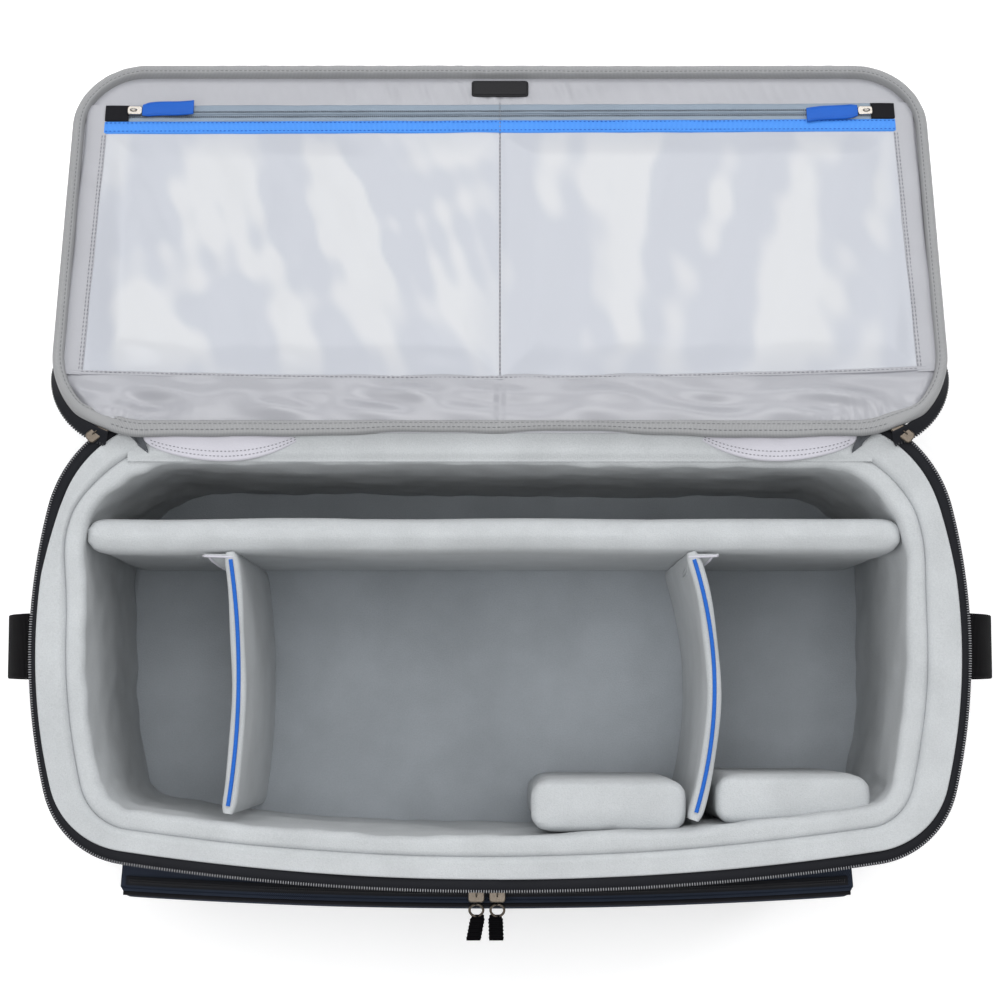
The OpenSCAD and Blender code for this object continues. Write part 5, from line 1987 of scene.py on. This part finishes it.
@dataclass
class Inserts:
    """The felt dividers and blocks that stand in the case.

    Attributes:
        thin: Thickness of the cross dividers.
        ear_reach, ear_drop, ear_t: Length, depth and thickness of the dividers' ears.
        corner_r: Radius of the blocks' corners seen from above.
        edge_r: Radius of the blocks' top edges.
    """
    thin: float = 11 * MM
    ear_reach: float = 23 * MM
    ear_drop: float = 62 * MM
    ear_t: float = 2.2 * MM
    corner_r: float = 12 * MM
    edge_r: float = 6 * MM

    def long_divider(self) -> None:
        """The long divider: a rounded section carried across the case."""
        low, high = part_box("long_divider")
        section = rounded(low[1], high[1], low[2], high[2], [2 * MM, 11.5 * MM, 11.5 * MM, 2 * MM],
                          6 * MM, 8)
        x0, x1 = low[0] - 14 * MM, high[0] + 4.6 * MM
        x = np.linspace(x0 + 0.3 * MM, x1 - 0.3 * MM, 150)
        taper = np.sqrt(np.clip(np.minimum(x - x0, x1 - x) / (8 * MM), 0, 1))
        mid = np.array([(low[1] + high[1]) / 2, (low[2] + high[2]) / 2])
        a, t = np.meshgrid(x, np.arange(len(section)), indexing="ij")
        y = mid[0] + (section[:, 0][t] - mid[0]) * (0.6 + 0.4 * taper[:, None])
        z = mid[1] + (section[:, 1][t] - mid[1]) * (0.985 + 0.015 * taper[:, None])
        high_up = np.clip((z - low[2]) / (high[2] - low[2]), 0, 1)
        y = y + 0.9 * MM * noise(a, z, 80 * MM, 151) * high_up
        z = z - (0.8 * MM + 0.8 * MM * noise(a, y, 110 * MM, 152)) * high_up ** 10
        piece = build("long_divider_felt", tube(np.stack([a, y, z], axis=-1)), FELT,
                      "long_divider_pad", "felt", ["long_divider"])
        puff(piece, 5 * MM, 3.0, 1.2 * MM)

    def cross_divider(self, side: str, x_end: float, bow: float) -> None:
        """A thin bowed divider with an edge tape along its top and ears at its ends.

        Args:
            side: "left" or "right".
            x_end: Place of its ends across the case.
            bow: Bow of its middle.
        """
        sign = -1.0 if side == "left" else 1.0
        body = f"divider_{side}_pad"
        low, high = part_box(f"divider_{side}")
        t = self.thin
        y0, y1 = low[1] + 0.3 * MM, high[1] - 0.2 * MM
        mid, half = (y0 + y1) / 2, (y1 - y0) / 2
        y = np.linspace(y0, y1, 70)
        x = x_end + bow * (1 - ((y - mid) / half) ** 2)
        slope = -2 * bow * (y - mid) / half ** 2
        normal = np.stack([np.ones_like(y), -slope], axis=1)
        normal /= np.linalg.norm(normal, axis=1, keepdims=True)
        path = Loop(np.stack([x, y], axis=1), normal, False)
        section = rounded(-t / 2, t / 2, low[2], high[2], [1.5 * MM, 4 * MM, 4 * MM, 1.5 * MM],
                          6 * MM, 5)

        def stir(s: Array, row: Array) -> Array:
            """Slow waves of the felt faces."""
            z = section[:, 1][row]
            up = np.clip((z - low[2]) / (high[2] - low[2]), 0, 1)
            ends = np.clip(np.minimum(s, s.max() - s) / (8 * MM), 0, 1) ** 0.5
            u = section[:, 0][row]
            thin = u * 0.35 * (1 - ends)
            dip = -0.8 * MM * (1 + noise(s, 0 * s, 60 * MM, 163)) * up ** 12
            return np.stack([0.8 * MM * noise(s, z, 55 * MM, 161) * up - thin, dip], axis=-1)

        shape = carry(path, section, stir=stir)
        piece = build(f"divider_{side}_felt", shape.flipped(), FELT, body, "felt",
                      [f"divider_{side}"])
        edge = np.array([[1.5, -0.6], [1.5, 0.5], [0.8, 0.9], [-0.8, 0.9], [-1.5, 0.5],
                         [-1.5, -0.6]])
        tape = edge * MM + np.array([0.0, high[2] + 0.1 * MM])
        inner = Loop(path.points[2:-2], path.normals[2:-2], False)
        build(f"divider_{side}_edge", carry(inner, tape), EDGE_BLUE, body, "trim")
        self.ear(side, sign, x_end + sign * (t / 2 - 8 * MM), high, body)

    def ear(self, side: str, sign: float, x: float, high: Sequence[float], body: str) -> None:
        """A triangular hook-and-loop ear in front of the long divider.

        Args:
            side: "left" or "right".
            sign: The way it points.
            x: Where it leaves the divider.
            high: The divider's highest corner.
            body: The body it moves with.
        """
        reach, drop, t = self.ear_reach, self.ear_drop, self.ear_t
        u, v = np.meshgrid(np.linspace(0, 1, 16), np.linspace(0, 1, 18), indexing="ij")
        xs = x + sign * reach * u * (1 - 0.2 * v)
        zs = high[2] - 1.2 * MM - drop * v * (1 - u)
        out = 1.5 * MM + 12 * MM * np.sin(np.pi / 2 * v) * (1 - u) ** 0.6
        y_back = high[1] - 0.2 * MM
        front = np.stack([xs, y_back - t - out + 0.8 * MM * u, zs], axis=-1)
        rear = np.stack([xs, y_back - out * 0.98, zs + 0.2 * MM], axis=-1)
        ring = np.concatenate([front, rear[:, ::-1]], axis=1)
        shape = tube(ring)
        build(f"divider_{side}_ear", shape if sign < 0 else shape.flipped(), FELT, body, "felt")
        edge = np.concatenate([front[:, 0], front[::-1, -1][:12]])
        edge = edge + np.array([0, -0.3 * MM, 0.5 * MM])
        build(f"divider_{side}_ear_edge", wire(edge, np.gradient(edge, axis=0), 0.9 * MM), POPLIN,
              body, "felt")

    def block(self, side: str) -> None:
        """A felt covered foam block with rounded corners, swollen a little by its filling.

        Args:
            side: "left" or "right".
        """
        low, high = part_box(f"block_{side}")
        m = 0.8 * MM
        slip = np.array([0.0, -3.4]) if side == "left" else np.array([-2.6, -5.0])
        x0, x1 = low[0] + m + slip[0] * MM, high[0] - m + slip[0] * MM
        y0, y1 = low[1] + m + slip[1] * MM, high[1] - m + slip[1] * MM
        z0, z1 = low[2] + 0.2 * MM, high[2] - 0.8 * MM
        turn = np.radians(np.linspace(0, 90, 6))
        r = self.edge_r
        inset = np.concatenate([[r, 1 * MM, 0.0], np.zeros(22), r * (1 - np.cos(turn))[1:],
                                [13 * MM]])
        heights = np.concatenate([[z0, z0, z0 + 2 * MM], np.linspace(z0 + 10 * MM, z1 - r, 22),
                                  z1 - r + r * np.sin(turn)[1:], [z1 + 0.5 * MM]])
        rings = []
        for d, z in zip(inset, heights):
            corner = max(self.corner_r - d, 1 * MM)
            rings.append(level(self.ring(x0 + d, x1 - d, y0 + d, y1 - d, corner), z))
        points = np.array(rings)
        shape = stack([grid(points, False, True).flipped(), cap(points[0], False),
                       cap(points[-1], True)])
        piece = build(f"block_{side}_felt", shape, FELT, f"block_{side}_pad", "felt",
                      [f"block_{side}"])
        puff(piece, 4 * MM, 4.0, 1.6 * MM)

    def ring(self, x0: float, x1: float, y0: float, y1: float, r: float) -> Array:
        """A rounded rectangle with the same number of points whatever its size."""
        corners = [(x1 - r, y0 + r, -90), (x1 - r, y1 - r, 0), (x0 + r, y1 - r, 90),
                   (x0 + r, y0 + r, 180)]
        out = []
        for cx, cy, start in corners:
            a = np.radians(start + 90 * np.arange(7) / 6)
            out.append(np.stack([cx + r * np.cos(a), cy + r * np.sin(a)], axis=1))
        full = []
        for k in range(4):
            full.append(out[k])
            a, b = out[k][-1], out[(k + 1) % 4][0]
            full.append(a + (b - a) * (np.arange(1, 12) / 12)[:, None])
        return np.concatenate(full)

    def build(self) -> None:
        """Build the dividers and blocks."""
        self.long_divider()
        self.cross_divider("left", -206 * MM, 8 * MM)
        self.cross_divider("right", 146 * MM, 16.5 * MM)
        self.block("left")
        self.block("right")


# ---------------------------------------------------------------- the studio

@dataclass
class Studio:
    """A pale floor, soft light and the camera.

    Attributes:
        height: Height of the camera over the floor.
        back: Distance of the camera in front of the middle of the case.
        tilt: Angle from straight down, in degrees.
        lens: Focal length, in millimetres.
        sensor: Width of the sensor, in millimetres.
        half: Half the width of the floor.
    """
    height: float = 2.038
    back: float = 0.053
    tilt: float = 5.345
    lens: float = 83.88
    sensor: float = 36.0
    half: float = 6.0

    def floor(self) -> None:
        """A plain pale floor."""
        mesh = bpy.data.meshes.new("studio_floor")
        s = self.half
        mesh.from_pydata([(-s, -s, 0), (s, -s, 0), (s, s, 0), (-s, s, 0)], [], [(0, 1, 2, 3)])
        made = bpy.data.materials.new("pale_floor")
        made.use_nodes = True
        shader = made.node_tree.nodes["Principled BSDF"]
        shader.inputs["Base Color"].default_value = (0.95, 0.95, 0.95, 1)
        shader.inputs["Emission Color"].default_value = (1, 1, 1, 1)
        shader.inputs["Emission Strength"].default_value = 0.30
        shader.inputs["Roughness"].default_value = 0.9
        shader.inputs["Specular IOR Level"].default_value = 0.1
        mesh.materials.append(made)
        piece = bpy.data.objects.new("studio_floor", mesh)
        bpy.context.scene.collection.objects.link(piece)
        piece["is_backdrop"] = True

    def light(self, name: str, at: tuple[float, float, float], aim: tuple[float, float, float],
              size: float, power: float, tall: float = 0.0) -> None:
        """A soft box.

        Args:
            name: The light's name.
            at: Its place.
            aim: The point it faces.
            size: Its width.
            power: Its power in watts.
            tall: Its height, or 0 for a square.
        """
        data = bpy.data.lights.new(name, "AREA")
        data.shape = "RECTANGLE"
        data.size = size
        data.size_y = tall or size
        data.energy = power
        lamp = bpy.data.objects.new(name, data)
        lamp.location = at
        lamp.rotation_euler = (Vector(aim) - Vector(at)).to_track_quat("-Z", "Y").to_euler()
        bpy.context.scene.collection.objects.link(lamp)

    def camera(self) -> None:
        """The camera, almost straight above."""
        data = bpy.data.cameras.new("camera")
        data.lens = self.lens
        data.sensor_width = self.sensor
        eye = bpy.data.objects.new("camera", data)
        eye.location = (0.0, -self.back, self.height)
        eye.rotation_euler = (math.radians(self.tilt), 0.0, 0.0)
        bpy.context.scene.collection.objects.link(eye)
        bpy.context.scene.camera = eye

    def build(self) -> None:
        """Build the studio."""
        self.floor()
        world = bpy.data.worlds.new("soft_world")
        world.use_nodes = True
        world.node_tree.nodes["Background"].inputs[0].default_value = (1, 1, 1, 1)
        world.node_tree.nodes["Background"].inputs[1].default_value = 0.55
        scene = bpy.context.scene
        scene.world = world
        scene.view_settings.view_transform = "Standard"
        self.light("overhead", (0.0, 0.3, 2.9), (0.0, 0.1, 0.2), 1.6, 30.0)
        self.light("left_box", (-2.4, -0.6, 2.2), (0.0, 0.0, 0.2), 1.4, 20.0)
        self.light("right_box", (2.2, 1.4, 2.4), (0.0, 0.1, 0.2), 1.2, 16.0)
        for k, x in enumerate((-0.86, 0.05, 0.92)):
            self.light(f"strip_{k}", (x, 2.2, 1.75), (x * 0.3, 0.33, 0.2), 0.8, 7.0, 1.2)
        self.camera()


def main() -> None:
    """Build the case in order, and report each piece."""
    logging.basicConfig(level=logging.INFO, format="%(name)s: %(message)s")
    rim = Rim.from_frame()
    plane = LidPlane.from_frame()
    LOG.info("rim %.4f %.4f %.4f lid reach %.4f half %.4f", rim.half_w, rim.front, rim.back,
             plane.reach, plane.half_w)
    Studio().build()
    CaseWalls(rim).build()
    RimZip(rim).build()
    SideHandles(rim).build()
    FrontPocket(rim).build()
    Lid(plane, rim).build()
    LidPocket(plane).build()
    HingeSide(rim).build()
    Inserts().build()


if __name__ == "__main__":
    main()
    plain = [[[float(v) for v in corner] for corner in box] for box in (CAD_BOX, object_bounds())]
